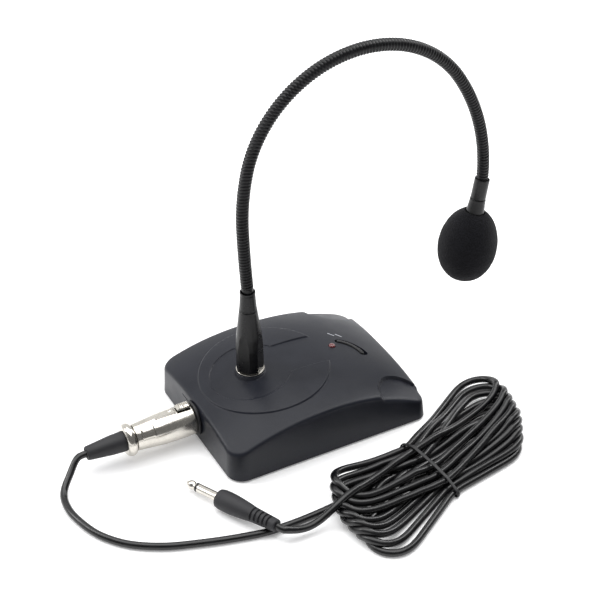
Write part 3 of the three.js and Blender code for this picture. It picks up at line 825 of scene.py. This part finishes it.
def make_marks():
    """Two short printed dashes beside the switch."""
    for i, (x, y) in enumerate(((41.5, 14.5), (46.5, 12.5))):
        verts, faces = [], []
        direction = Vector((0.62, -0.78))
        side = Vector((0.78, 0.62))
        for a in (-2.6, -1.3, 0, 1.3, 2.6):
            for b in (-0.4, 0.4):
                p = Vector((x, y)) + direction * a + side * b
                verts.append((p.x, p.y, crown(p.x, p.y) + 0.04))
        for k in range(4):
            faces.append((2 * k, 2 * k + 2, 2 * k + 3, 2 * k + 1))
        bottom = [(vx, vy, vz - 0.1) for vx, vy, vz in verts]
        n = len(verts)
        for k in range(4):
            faces.append((n + 2 * k, n + 2 * k + 1, n + 2 * k + 3, n + 2 * k + 2))
        rim = [0, 2, 4, 6, 8, 9, 7, 5, 3, 1]
        for p, q in zip(rim, rim[1:] + rim[:1]):
            faces.append((p, n + p, n + q, q))
        make_piece(f"printed_mark_{i + 1}", verts + bottom, faces, "base_shell", "base",
                   material=MATERIALS["print_grey"], smooth=False)


# ---- neck
NECK_R = 4.35
NECK_START_Z = 108.5
NECK_HEADING = math.radians(-3.8)
NECK_ARCS = [(47, 2.8), (42, 13.9), (203.3, 133.2), (91.5, 36.8)]  # length, turn in degrees
NECK_LENGTH = sum(length for length, _ in NECK_ARCS)
NECK_PIECES = 10
PIECE_LENGTH = NECK_LENGTH / NECK_PIECES
RIB_PITCH = 2.3
TIP_LEAN = 0.123  # radians between the end of the hose and the capsule
FOOT = ((NECK_X, 0, 0), (0, 0, 1))


def neck_at(s):
    """Point and heading of the neck's centre line, s mm above its foot."""
    x, z, heading = NECK_X, NECK_START_Z, NECK_HEADING
    if s < 0:
        return Vector((x + s * math.sin(heading), 0, z + s * math.cos(heading))), heading
    left = s
    for length, degrees in NECK_ARCS:
        run = min(left, length)
        turn = math.radians(degrees) * run / length
        chord = 2 * run * math.sin(turn / 2) / turn if turn else run
        x += chord * math.sin(heading + turn / 2)
        z += chord * math.cos(heading + turn / 2)
        heading += turn
        left -= run
        if left <= 0:
            break
    if left > 0:
        x, z = x + left * math.sin(heading), z + left * math.cos(heading)
    return Vector((x, 0, z)), heading


def rib_radius(s, angle):
    """Round wire wound in a close helix: full radius on the wire, less in the groove."""
    t = (s / RIB_PITCH - angle / (2 * math.pi)) % 1.0
    inside = smoothstep((2.5 - min(s, NECK_LENGTH - s)) / 2)  # narrower inside the ferrules
    wire = 0.95 * (1 - math.sqrt(max(1 - (2 * t - 1) ** 2 * 0.94, 0)))
    return NECK_R - 0.35 * inside - wire * (1 - inside)


def neck_piece(name, start, stop):
    steps, sides = max(int((stop - start) / RIB_PITCH * 9), 4), 36
    verts = []
    for i in range(steps + 1):
        s = start + (stop - start) * i / steps
        middle, heading = neck_at(s)
        fore = Vector((math.cos(heading), 0, -math.sin(heading)))
        for k in range(sides):
            a = 2 * math.pi * k / sides
            out = fore * math.cos(a) + Vector((0, 1, 0)) * math.sin(a)
            verts.append(middle + out * rib_radius(s, a))
    piece = make_piece(name, verts, bar_faces(steps + 1, sides), "neck_black")
    sharpen(piece, 60)
    return piece


def make_neck():
    """The hose, cut into lengths half-way between hinges; only the last length is attached to a
    neck body.
    """
    bodies = ["base"] + [f"neck_{i:02d}" for i in range(1, NECK_PIECES + 1)]
    cuts = [-9.0] + [(i + 0.5) * PIECE_LENGTH for i in range(NECK_PIECES)] + [NECK_LENGTH + 6]
    for i, (start, stop) in enumerate(zip(cuts, cuts[1:])):
        piece = neck_piece(f"neck_hose_{i + 1:02d}", start, stop)
        if i == NECK_PIECES:
            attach(piece, bodies[-1])
        else:
            low = -1.0 if i == 0 else start
            at(*neck_at(low)[0])
            at(*neck_at(stop)[0])
            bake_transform(piece)
        if i < NECK_PIECES:
            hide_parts(f"neck_segment_{i + 1:02d}")


def make_collar():
    """Collar with four flats whose tops scallop into its cone, and the ferrule above it."""
    flat, turn = 8.4, math.radians(36)

    def with_flats(r, d, angle):
        nearest = (angle - turn + math.pi / 4) % (math.pi / 2) - math.pi / 4
        return min(r, flat / math.cos(nearest)) if d < 78 and r > 6 else r

    profile = eased([[5.2, 43.3], [9.0, 43.3], [9.45, 43.9], [9.45, 62.0], [8.9, 70.7],
                     [6.25, 92.1], [4.9, 92.1]], 0.5)
    fine = refined(profile, lambda d0, d1: max(1, int(abs(d1 - d0) / 0.8)))
    turned("collar", fine + fine[:1], FOOT, 160, "black_metal", "base", "neck_collar", 24,
           with_flats)

    top = NECK_START_Z - 1.3
    sleeve = [[4.7, 92.5], [6.2, 92.5], [6.2, 93.1], [6.0, 93.6], [5.2, top - 2.4],
              [5.35, top - 1.8], [5.35, top - 0.2], [4.7, top - 0.2], [4.7, 92.5]]
    turned("foot_ferrule", ring_eased(sleeve, 0.25), FOOT, 72, "black_metal", "base",
           "lower_ferrule")

    washer = [[5.3, 42.0], [9.9, 42.0], [9.9, 43.0], [5.3, 43.0], [5.3, 42.0]]
    turned("foot_washer", ring_eased(washer, 0.3), FOOT, 96, "nickel", "base", "neck_washer")


TIP, TIP_HEADING = neck_at(NECK_LENGTH)
TIP_AXIS = Vector((math.sin(TIP_HEADING + TIP_LEAN), 0, math.cos(TIP_HEADING + TIP_LEAN)))
END = (TIP, TIP_AXIS)


def make_capsule():
    sleeve = [[4.85, -1.4], [5.3, -1.4], [5.4, -0.8], [5.5, 13.7], [4.2, 13.7], [4.85, -1.4]]
    turned("tip_ferrule", ring_eased(sleeve, 0.3), END, 72, "black_metal", "neck_10",
           "upper_ferrule")
    cone = [[0, 14], [5.5, 14], [5.7, 14.5], [5.75, 16.5], [6.65, 26.3], [7, 26.8], [7, 29.7],
            [0, 29.7]]
    turned("tip_collar", eased(cone, 0.35), END, 72, "black_metal", "neck_10", "capsule_collar")
    cap = [[0, 30], [6.1, 30], [6.2, 30.4], [6.2, 36], [6.0, 36.2], [6.0, 36.8], [6.2, 37],
           [6.2, 51.6], [6.0, 52], [0, 52]]
    turned("capsule_body", eased(cap, 0.2), END, 64, "black_metal", "neck_10", "mic_capsule")

    def slots(r, d, angle):
        groove = 0.5 + 0.5 * math.cos(angle * 24)
        return r - (0.35 * groove if 52.6 < d < 55.4 and r > 5.5 else 0)

    head = [[0, 52.3], [6.2, 52.3], [6.2, 52.8], [6.2, 55.0], [5.8, 55.6], [4.2, 56.2], [0, 56.6]]
    turned("capsule_head", eased(head, 0.3), END, 120, "steel", "neck_10", "capsule_grille", 40,
           slots)


def make_foam():
    """Egg of foam with a coarse, slightly uneven skin and a blind hole over the capsule."""
    foam_at, foam_r, foam_half, hole = 51.0, 21.2, 28.3, 7.2
    rng = np.random.default_rng(7)
    waves = rng.normal(size=(26, 3)) * 0.28
    phases = rng.uniform(0, 2 * math.pi, 26)
    rows, sides = 150, 220
    profile = []
    for i in range(rows + 1):
        a = math.pi * (0.11 + (0.89 * i) / rows)
        fullness = 1 - 0.05 * math.cos(a)
        profile.append([foam_r * math.sin(a) ** 0.94 * fullness if i < rows else 0,
                        foam_at - foam_half * math.cos(a)])
    mouth = profile[0]
    inner = [[0, 57.2], [6.5, 57.2], [6.5, 30.2], [hole, 29.6], [hole, mouth[1] + 1.2],
             [(hole + mouth[0]) / 2, mouth[1] + 0.15]]
    verts, faces = lathe(inner + profile, *END, sides)
    middle = TIP + TIP_AXIS * foam_at
    out = []
    for p in verts:
        d = p - middle
        along = d.dot(TIP_AXIS)
        radial = (d - TIP_AXIS * along).length
        if radial < hole + 0.4 and along < foam_half * 0.9:
            out.append(p)
            continue
        q = np.array(d)
        bumpy = float(np.sin(waves @ q + phases).sum()) / 26
        out.append(p + d.normalized() * (bumpy * 0.55))
    piece = make_piece("foam_windscreen", out, faces, "foam", "windscreen", ["windscreen"])


# ---- three-pin plug
SOCKET = ((REAR_X, 0, SOCKET_Z), (-1, 0, 0))  # the socket's face, and rearwards
# the plug's swelling outline: radius, distance behind the socket's face
PLUG_ROWS = [[10.7, 2.5], [11.0, 3.2], [11.25, 7], [11.4, 12], [11.4, 20], [11.25, 26],
             [10.85, 31], [10.3, 36], [9.8, 41], [9.4, 46]]


def make_socket():
    flange = [[9.4, -17.9], [10.5, -17.9], [10.5, 0.8], [12.4, 0.8], [12.4, 2.2], [9.4, 2.2],
              [9.4, -17.9]]
    turned("socket_flange", ring_eased(flange, 0.35), SOCKET, 96, "black_plastic", "base",
           "xlr_socket_shell")


def make_plug():
    shell = [[7.9, -14], [9, -14], [9, PLUG_ROWS[0][1]]] + PLUG_ROWS
    shell += [[6.5, 46], [6.5, 34], [7.9, 29], [7.9, -14]]
    body = make_piece("plug_shell", *lathe(ring_eased(shell, 0.5), *SOCKET, 96), "nickel")
    cut_away(body, cutter("latch_slot", *block(REAR_X - 14, REAR_X - 3.9, -3.4, 3.4, 22.8, 29)))
    sharpen(body, 28)
    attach(body, "lead")
    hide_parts("xlr_plug_shell")


def make_plug_strip():
    """Raised flat strip behind the latch, with a small dimple."""
    verts = []
    steps, across = 40, 12
    for i in range(steps + 1):
        t = i / steps
        x = -88.2 - 15.3 * t
        half = 3.1 - 0.5 * t
        lift = 1.0 * min(1, t * 18, (1 - t) * 18)
        for k in range(across + 1):
            y = half * (2 * k / across - 1)
            side = min(1, (1 - abs(2 * k / across - 1)) * 6.1)
            r = shell_radius(REAR_X - x)
            roof = SOCKET_Z + math.sqrt(max(r * r - y * y, 0))
            flat = SOCKET_Z + r - 0.15
            dimple = 0.8 * max(0, 1 - math.hypot(x + 92.2, y) / 1.0) ** 0.5
            verts.append((x, y, roof + (flat - roof + lift) * side - dimple - 0.12 * (1 - side)))
    strip = make_piece("plug_strip", verts, grid_faces(steps + 1, across + 1), "nickel")
    thicken(strip, 0.6, -1)
    bake_modifiers(strip)
    sharpen(strip, 40)
    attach(strip, "lead")


def make_plug_grip():
    """Knurled grip patch on the flank."""
    verts = []
    nx, na = 26, 22
    for i in range(nx + 1):
        x = -106.5 - 9.2 * i / nx
        r = shell_radius(REAR_X - x)
        for k in range(na + 1):
            a = math.radians(20 + 42 * k / na)
            edge = min(1, min(i, nx - i) / 2, min(k, na - k) / 2)
            grid = 0.5 + 0.5 * math.cos(i * math.pi) * math.cos(k * math.pi)
            rr = r + (0.3 + 0.22 * grid) * edge - 0.05
            verts.append((x, rr * -math.cos(a), SOCKET_Z + rr * math.sin(a)))
    patch = make_piece("plug_grip", verts, grid_faces(nx + 1, na + 1), "nickel", smooth=False)
    thicken(patch, 0.4, 1)
    bake_modifiers(patch)
    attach(patch, "lead")


def make_latch():
    """Release latch: a ribbed plate that stands clear of the shell on a narrower stem."""
    verts = []
    steps = 60
    x0, x1 = REAR_X - 4.2, REAR_X - 13.7
    for i in range(steps + 1):
        t = i / steps
        x = x0 + (x1 - x0) * t
        rib = 0.55 * (0.5 + 0.5 * math.cos(t * 7 * 2 * math.pi)) if 0.07 < t < 0.79 else 0.1
        top = SOCKET_Z + 14.3 - rib - 1.0 * smoothstep((t - 0.78) / 0.22)
        top -= 0.6 * (1 - smoothstep(t / 0.05))
        under = min(SOCKET_Z + 12.6, top - 0.4)
        stem = 1.9 if 0.16 < t < 0.9 else 0.0
        foot = SOCKET_Z + 8.7 if stem else under - 0.02
        verts += [(x, -3.0, under), (x, -3.0, top - 0.35), (x, -2.6, top), (x, 2.6, top),
                  (x, 3.0, top - 0.35), (x, 3.0, under), (x, stem, under - 0.01),
                  (x, stem, foot), (x, -stem, foot), (x, -stem, under - 0.01)]
    faces = bar_faces(steps + 1, len(verts) // (steps + 1))
    latch = make_piece("plug_latch", verts, faces, "nickel", "latch", ["xlr_latch"])
    sharpen(latch, 30)


def make_plug_end():
    """Bead ring and rubber boot at the back of the plug."""
    bead = [(9.0 + 2.75 * math.sin(math.radians(a)), 49.9 - 3.45 * math.cos(math.radians(a)))
            for a in range(10, 171, 10)]
    ring = [(7.3, 46.5), *bead, (7.3, 53.3), (7.3, 46.5)]
    turned("plug_ring", ring, SOCKET, 96, "nickel", "lead", "xlr_end_ring", 50)
    boot = [[0, 40], [6.1, 40], [6.1, 46.8], [7.1, 46.9], [7.1, 56], [6.75, 63], [5.9, 71],
            [5.0, 79.4], [4.7, 80.5], [3.3, 80.5], [2.7, 79.6], [0, 79.6]]
    turned("plug_boot", eased(boot, 0.5), SOCKET, 72, "rubber", "lead", "xlr_boot", 32)


def shell_radius(d):
    """Outer radius of the plug's shell, d mm behind the socket's face."""
    for (r0, d0), (r1, d1) in zip(PLUG_ROWS, PLUG_ROWS[1:]):
        if d <= d1:
            return r0 + (r1 - r0) * (d - d0) / (d1 - d0)
    return PLUG_ROWS[-1][0]


# ---- jack plug
JACK_TIP = Vector((-102, -47.5, 5.2))
JACK_TAIL = Vector((-71, -118.5, 10.6))
JACK_LENGTH = (JACK_TAIL - JACK_TIP).length
JACK = (JACK_TIP, (JACK_TAIL - JACK_TIP).normalized())
SHANK_R = 3.17


def make_jack():
    point = [[0, 0], [1.3, 0.4], [2.9, 3.2], [SHANK_R, 4.6], [3.1, 5.6], [2.3, 7.0], [2.3, 7.8],
             [SHANK_R, 9.0], [SHANK_R, 9.2], [0, 9.2]]
    turned("jack_point", eased(point, 0.4), JACK, 72, "nickel", "lead", "jack_tip")
    ring = [[0, 9.3], [3.12, 9.3], [3.12, 10.8], [0, 10.8]]
    turned("jack_insulator", ring, JACK, 72, "black_plastic", "lead", "jack_ring")
    shaft = [[0, 10.9], [SHANK_R, 10.9], [SHANK_R, 27.6], [4.6, 27.7], [4.6, 28.3], [0, 28.3]]
    turned("jack_shaft", eased(shaft, 0.15), JACK, 72, "nickel", "lead", "jack_sleeve")

    def relief(r, d, angle):
        """Slots of the strain relief, cut from two sides in turn."""
        for k in range(5):
            middle = 59.0 + 3.3 * k
            if abs(d - middle) < 0.72:
                side = math.cos(angle - (0.4 if k % 2 else 0.4 + math.pi))
                depth = smoothstep((abs(side) - 0.25) / 0.2)
                return r - 1.15 * depth * smoothstep((0.72 - abs(d - middle)) / 0.25)
        return r

    outline = [[0, 28.5], [5.4, 28.5], [6.3, 29.1], [6.85, 31.5], [7.0, 36], [6.9, 41],
               [6.45, 47], [5.85, 53], [5.35, 56.5], [5.2, 58], [5.0, 62], [4.6, 70],
               [4.3, JACK_LENGTH - 0.7], [3.9, JACK_LENGTH - 0.1], [0, JACK_LENGTH - 0.1]]
    fine = refined(outline, lambda d0, d1: max(1, int(abs(d1 - d0) / 0.22)) if d0 > 56 else 4)
    turned("jack_grip", fine, JACK, 96, "rubber", "lead", "jack_handle", 40, relief)


# ---- lead
LEAD_R = 2.5
ROUTE_PLUG_TO_HANK = [
    (-154.0, 0, 15.8), (-160, -0.4, 15.2), (-168.5, -6.5, 9.2), (-177.5, -16.5, 3.6),
    (-180, -31, 2.7), (-177.8, -46, 2.7), (-171.5, -63.5, 2.7), (-158.8, -80, 2.7),
    (-139.5, -93, 2.7), (-118, -101.4, 2.7), (-95, -108.5, 2.7), (-76, -112.8, 2.7),
    (-60, -113.8, 2.7), (-41, -113.5, 2.7),
]
ROUTE_HANK_TO_JACK = [(-42.5, -125, 4), (-53, -125.5, 4), (-61, -125.5, 5.6),
                      (-69.4, -122.2, 10.3), (-70.75, -119.1, 10.65)]
TIE_AT = Vector((46, -113, 0))
TIE_AXIS = math.radians(10)  # heading of the strands where they pass the tie
TURNS = 9
LAY_PITCH = 5.1  # from one strand to the next under the tie
FOLD_R = 15.6
FLOOR_Z = 2.7  # height of a strand that lies on the floor
FOLD_UNEVEN = 0.8  # how far the folds' radii stray from FOLD_R
RIGHT_FAN, RIGHT_REACH, RIGHT_GROWTH = 36, 71, 0.93  # degrees, mm, and mm more per degree
LEFT_START, LEFT_FAN = 172, 46  # heading of the innermost left fold, and the fan's width
LEFT_REACH, LEFT_GROWTH = 68, 16
LAID_RISE = 75.0  # how far the laid-out cable climbs from end to end before it settles


def path_length(points):
    return float(np.linalg.norm(np.diff(points, axis=0), axis=1).sum())


def spaced_evenly(points, count):
    """count + 1 points at even steps along a line of points."""
    run = np.concatenate([[0], np.cumsum(np.linalg.norm(np.diff(points, axis=0), axis=1))])
    even = np.linspace(0, run[-1], count + 1)
    return np.stack([np.interp(even, run, column) for column in points.T], axis=1)


def between(p, q, a, b, t):
    """The point for t on the line that passes p at a and q at b."""
    return p * ((b - t) / (b - a)) + q * ((t - a) / (b - a))


def smooth_path(points, step):
    """Centripetal Catmull-Rom through the points, then even steps along it."""
    pts = [Vector(p) for p in points]
    pts = [pts[0] * 2 - pts[1]] + pts + [pts[-1] * 2 - pts[-2]]
    dense = []
    for p0, p1, p2, p3 in zip(pts, pts[1:], pts[2:], pts[3:]):
        t0 = 0.0
        t1 = t0 + max((p1 - p0).length, 1e-4) ** 0.5
        t2 = t1 + max((p2 - p1).length, 1e-4) ** 0.5
        t3 = t2 + max((p3 - p2).length, 1e-4) ** 0.5
        count = max(int((p2 - p1).length / 0.8), 2)
        for k in range(count):
            t = t1 + (t2 - t1) * k / count
            a = between(p0, p1, t0, t1, t)
            b = between(p1, p2, t1, t2, t)
            c = between(p2, p3, t2, t3, t)
            dense.append(between(between(a, b, t0, t2, t), between(b, c, t1, t3, t), t1, t2, t))
    dense.append(pts[-2])
    dense = np.array([tuple(p) for p in dense])
    return spaced_evenly(dense, max(int(round(path_length(dense) / step)), 2))


def tie_spots():
    """Where each turn passes the tie, across it, on its way out and on its way back. The first
    strands lie side by side, the next ones in the hollows between them, the last on top."""
    out = [0, 1, 2, 3, 4, 5, 1.5, 3.5, 4.5]
    back = [-5, -4, -3, -2, -1, -3.5, -2, -0.5, 2.5]
    return [LAY_PITCH * v for v in out], [LAY_PITCH * v for v in back]


def fold(leaves, returns, angle, length, radius):
    """Straight out from the tie at one spot, round a fold and straight back to another."""
    across = Vector((-math.sin(TIE_AXIS), math.cos(TIE_AXIS)))
    start, end = TIE_AT.xy + across * leaves, TIE_AT.xy + across * returns
    centre = TIE_AT.xy + Vector((math.cos(angle), math.sin(angle))) * (length - radius)

    def touch(spot, side):
        d = spot - centre
        return math.atan2(d.y, d.x) + side * math.acos(radius / d.length)

    first, last = touch(start, -1), touch(end, 1)
    sweep = (first - last) % (2 * math.pi)
    turns = [first - sweep * k / 8 for k in range(9)]
    arc = [centre + Vector((math.cos(a), math.sin(a))) * radius for a in turns]
    out = [start.lerp(arc[0], t) for t in (0.0, 0.3, 0.65)]
    return out + arc + [arc[-1].lerp(end, t) for t in (0.35, 0.7)]


def hank_points():
    """Turns of the hank in plan: narrow loops that fan out on each side of the tie."""
    out, back = tie_spots()
    points = []
    for j in range(TURNS):
        t = j / (TURNS - 1)
        angle = RIGHT_FAN * t
        points += fold(out[j], back[j], math.radians(angle), RIGHT_REACH + RIGHT_GROWTH * angle,
                       FOLD_R + FOLD_UNEVEN * math.sin(j * 2.1))
        if j < TURNS - 1:
            t = 1 - j / (TURNS - 2)
            points += fold(back[j], out[j + 1], math.radians(LEFT_START + LEFT_FAN * t),
                           LEFT_REACH + LEFT_GROWTH * t**0.8,
                           FOLD_R + FOLD_UNEVEN * math.cos(j * 1.7))
    return [(p.x, p.y, FLOOR_Z) for p in points]


def eased_run(p, first, last, rounds):
    """Evens out the bends between two points of a path."""
    for _ in range(rounds):
        soft = p.copy()
        soft[1:-1] = p[1:-1] * 0.5 + (p[:-2] + p[2:]) * 0.25
        p[first:last] = soft[first:last]
    return p


def settle(p, first, last, rounds=560):
    """Lets the laid-out cable sink on to the floor and on to the turns already there."""
    gap = 1.9 * LEAD_R  # the soft skins press together a little
    count = len(p)
    plan = p[:, :2]
    square = (plan * plan).sum(1)
    apart = square[:, None] + square[None] - 2 * plan @ plan.T
    i, j = np.argwhere(np.triu(apart < gap * gap, 5)).T
    climb = np.sqrt(np.maximum(gap * gap - apart[i, j], 0))
    z = p[:, 2].copy()
    z[first:last] = FLOOR_Z + LAID_RISE * np.arange(last - first) / count
    for step in range(rounds):
        z[first:last] -= 0.25 if step < rounds * 0.76 else 0.05
        for _ in range(4):
            z[first:last] = (z * 0.5 + (np.roll(z, 1) + np.roll(z, -1)) * 0.25)[first:last]
        for _ in range(3):
            short = np.maximum(z[i] + climb - z[j], 0)
            up, down = np.zeros(count), np.zeros(count)
            np.maximum.at(up, j, short * 0.6)
            np.maximum.at(down, i, short * 0.4)
            z[first:last] += (up - down)[first:last]
            z[first:last] = np.maximum(z[first:last], FLOOR_Z)
    p[:, 2] = z
    return p


def make_lead():
    step = 2.5
    run_in = smooth_path(ROUTE_PLUG_TO_HANK, step)
    whole = ROUTE_PLUG_TO_HANK + [(-20, -112, FLOOR_Z), (12, -113, FLOOR_Z)] + hank_points()
    whole += [(TIE_AT.x - 3, -98, FLOOR_Z), (22, -105.5, FLOOR_Z), (4, -111.5, FLOOR_Z),
              (-12, -117.5, FLOOR_Z), (-28, -122.8, FLOOR_Z)]
    whole += ROUTE_HANK_TO_JACK
    path = smooth_path(whole, step)
    first, last = len(run_in) - 4, len(path) - 12
    path = eased_run(path, first, len(path) - 3, 12)
    path = settle(path, first, last)
    path = eased_run(path, last - 14, len(path) - 3, 30)
    length = path_length(path)

    data = bpy.data.curves.new("lead", "CURVE")
    data.dimensions = "3D"
    data.bevel_depth = LEAD_R * MM
    data.bevel_resolution = 5
    data.use_fill_caps = True
    spline = data.splines.new("POLY")
    spline.points.add(len(path) - 1)
    for point, place in zip(spline.points, path):
        point.co = (*at(*place), 1)
    spline.use_smooth = True
    data.materials.append(MATERIALS["lead_skin"])
    lead = bpy.data.objects.new("lead_cable", data)
    bpy.context.scene.collection.objects.link(lead)
    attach(lead, "lead")
    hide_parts("lead_plug_run", "lead_hank", "lead_jack_run")
    print("lead length mm", round(length, 1))
    return lead, length, path


def make_tie(path):
    """Thin wire tie drawn close round the strands."""
    tie_u = np.array([math.cos(TIE_AXIS), math.sin(TIE_AXIS)])
    tie_v = np.array([-math.sin(TIE_AXIS), math.cos(TIE_AXIS)])
    rel = path[:, :2] - np.array(TIE_AT.xy)
    near = np.abs(rel @ tie_u) < 4
    v, z = (rel @ tie_v)[near], path[near, 2]
    reach = LEAD_R + 0.75
    angles = [2 * math.pi * k / 72 for k in range(72)]
    # how far the bundle's touching line lies out in each direction
    outline = [(a, (v * math.cos(a) + z * math.sin(a)).max() + reach) for a in angles]
    loop = []
    for (a, far), (b, next_far) in zip(outline, outline[1:] + outline[:1]):
        det = math.cos(a) * math.sin(b) - math.sin(a) * math.cos(b)
        x = (far * math.sin(b) - next_far * math.sin(a)) / det
        y = (math.cos(a) * next_far - math.cos(b) * far) / det
        loop.append((x, max(y, 0.65)))
    ring = spaced_evenly(np.array(loop + [loop[0]]), 140)[:-1]
    for _ in range(3):
        ring = ring * 0.5 + (np.roll(ring, 1, axis=0) + np.roll(ring, -1, axis=0)) * 0.25
    centre = [Vector((TIE_AT.x + tie_v[0] * a, TIE_AT.y + tie_v[1] * a, max(b, 0.65)))
              for a, b in ring]
    verts, sides = [], 10
    forward = Vector((tie_u[0], tie_u[1], 0))
    count = len(centre)
    for i, c in enumerate(centre):
        along = (centre[(i + 1) % count] - centre[i - 1]).normalized()
        outward = forward.cross(along).normalized()
        for k in range(sides):
            a = 2 * math.pi * k / sides
            verts.append(c + outward * (0.55 * math.cos(a)) + forward * (1.25 * math.sin(a)))
    faces = grid_faces(count, sides, around=True, looped=True)
    make_piece("tie", verts, faces, "black_plastic", "lead", ["twist_tie"])


# ---- assembly
def finish_cad_nodes():
    """The CAD nodes that stay in view get the procedural materials."""
    by_slot = {row["node"]: row["material_slot"] for row in frame["record"]["subparts"]}
    for node, slot in by_slot.items():
        piece = bpy.data.objects.get(node)
        if piece is None or piece.type != "MESH":
            continue
        for holder in piece.material_slots:
            holder.material = MATERIALS[slot]


MATERIALS = make_materials()
make_camera()
make_stage()
lead_piece, lead_length, lead_path = make_lead()
make_base_shell()
make_lamp()
make_switch()
make_marks()
make_neck()
make_collar()
make_capsule()
make_foam()
make_socket()
make_plug()
make_plug_strip()
make_plug_grip()
make_latch()
make_plug_end()
make_jack()
make_tie(lead_path)
finish_cad_nodes()
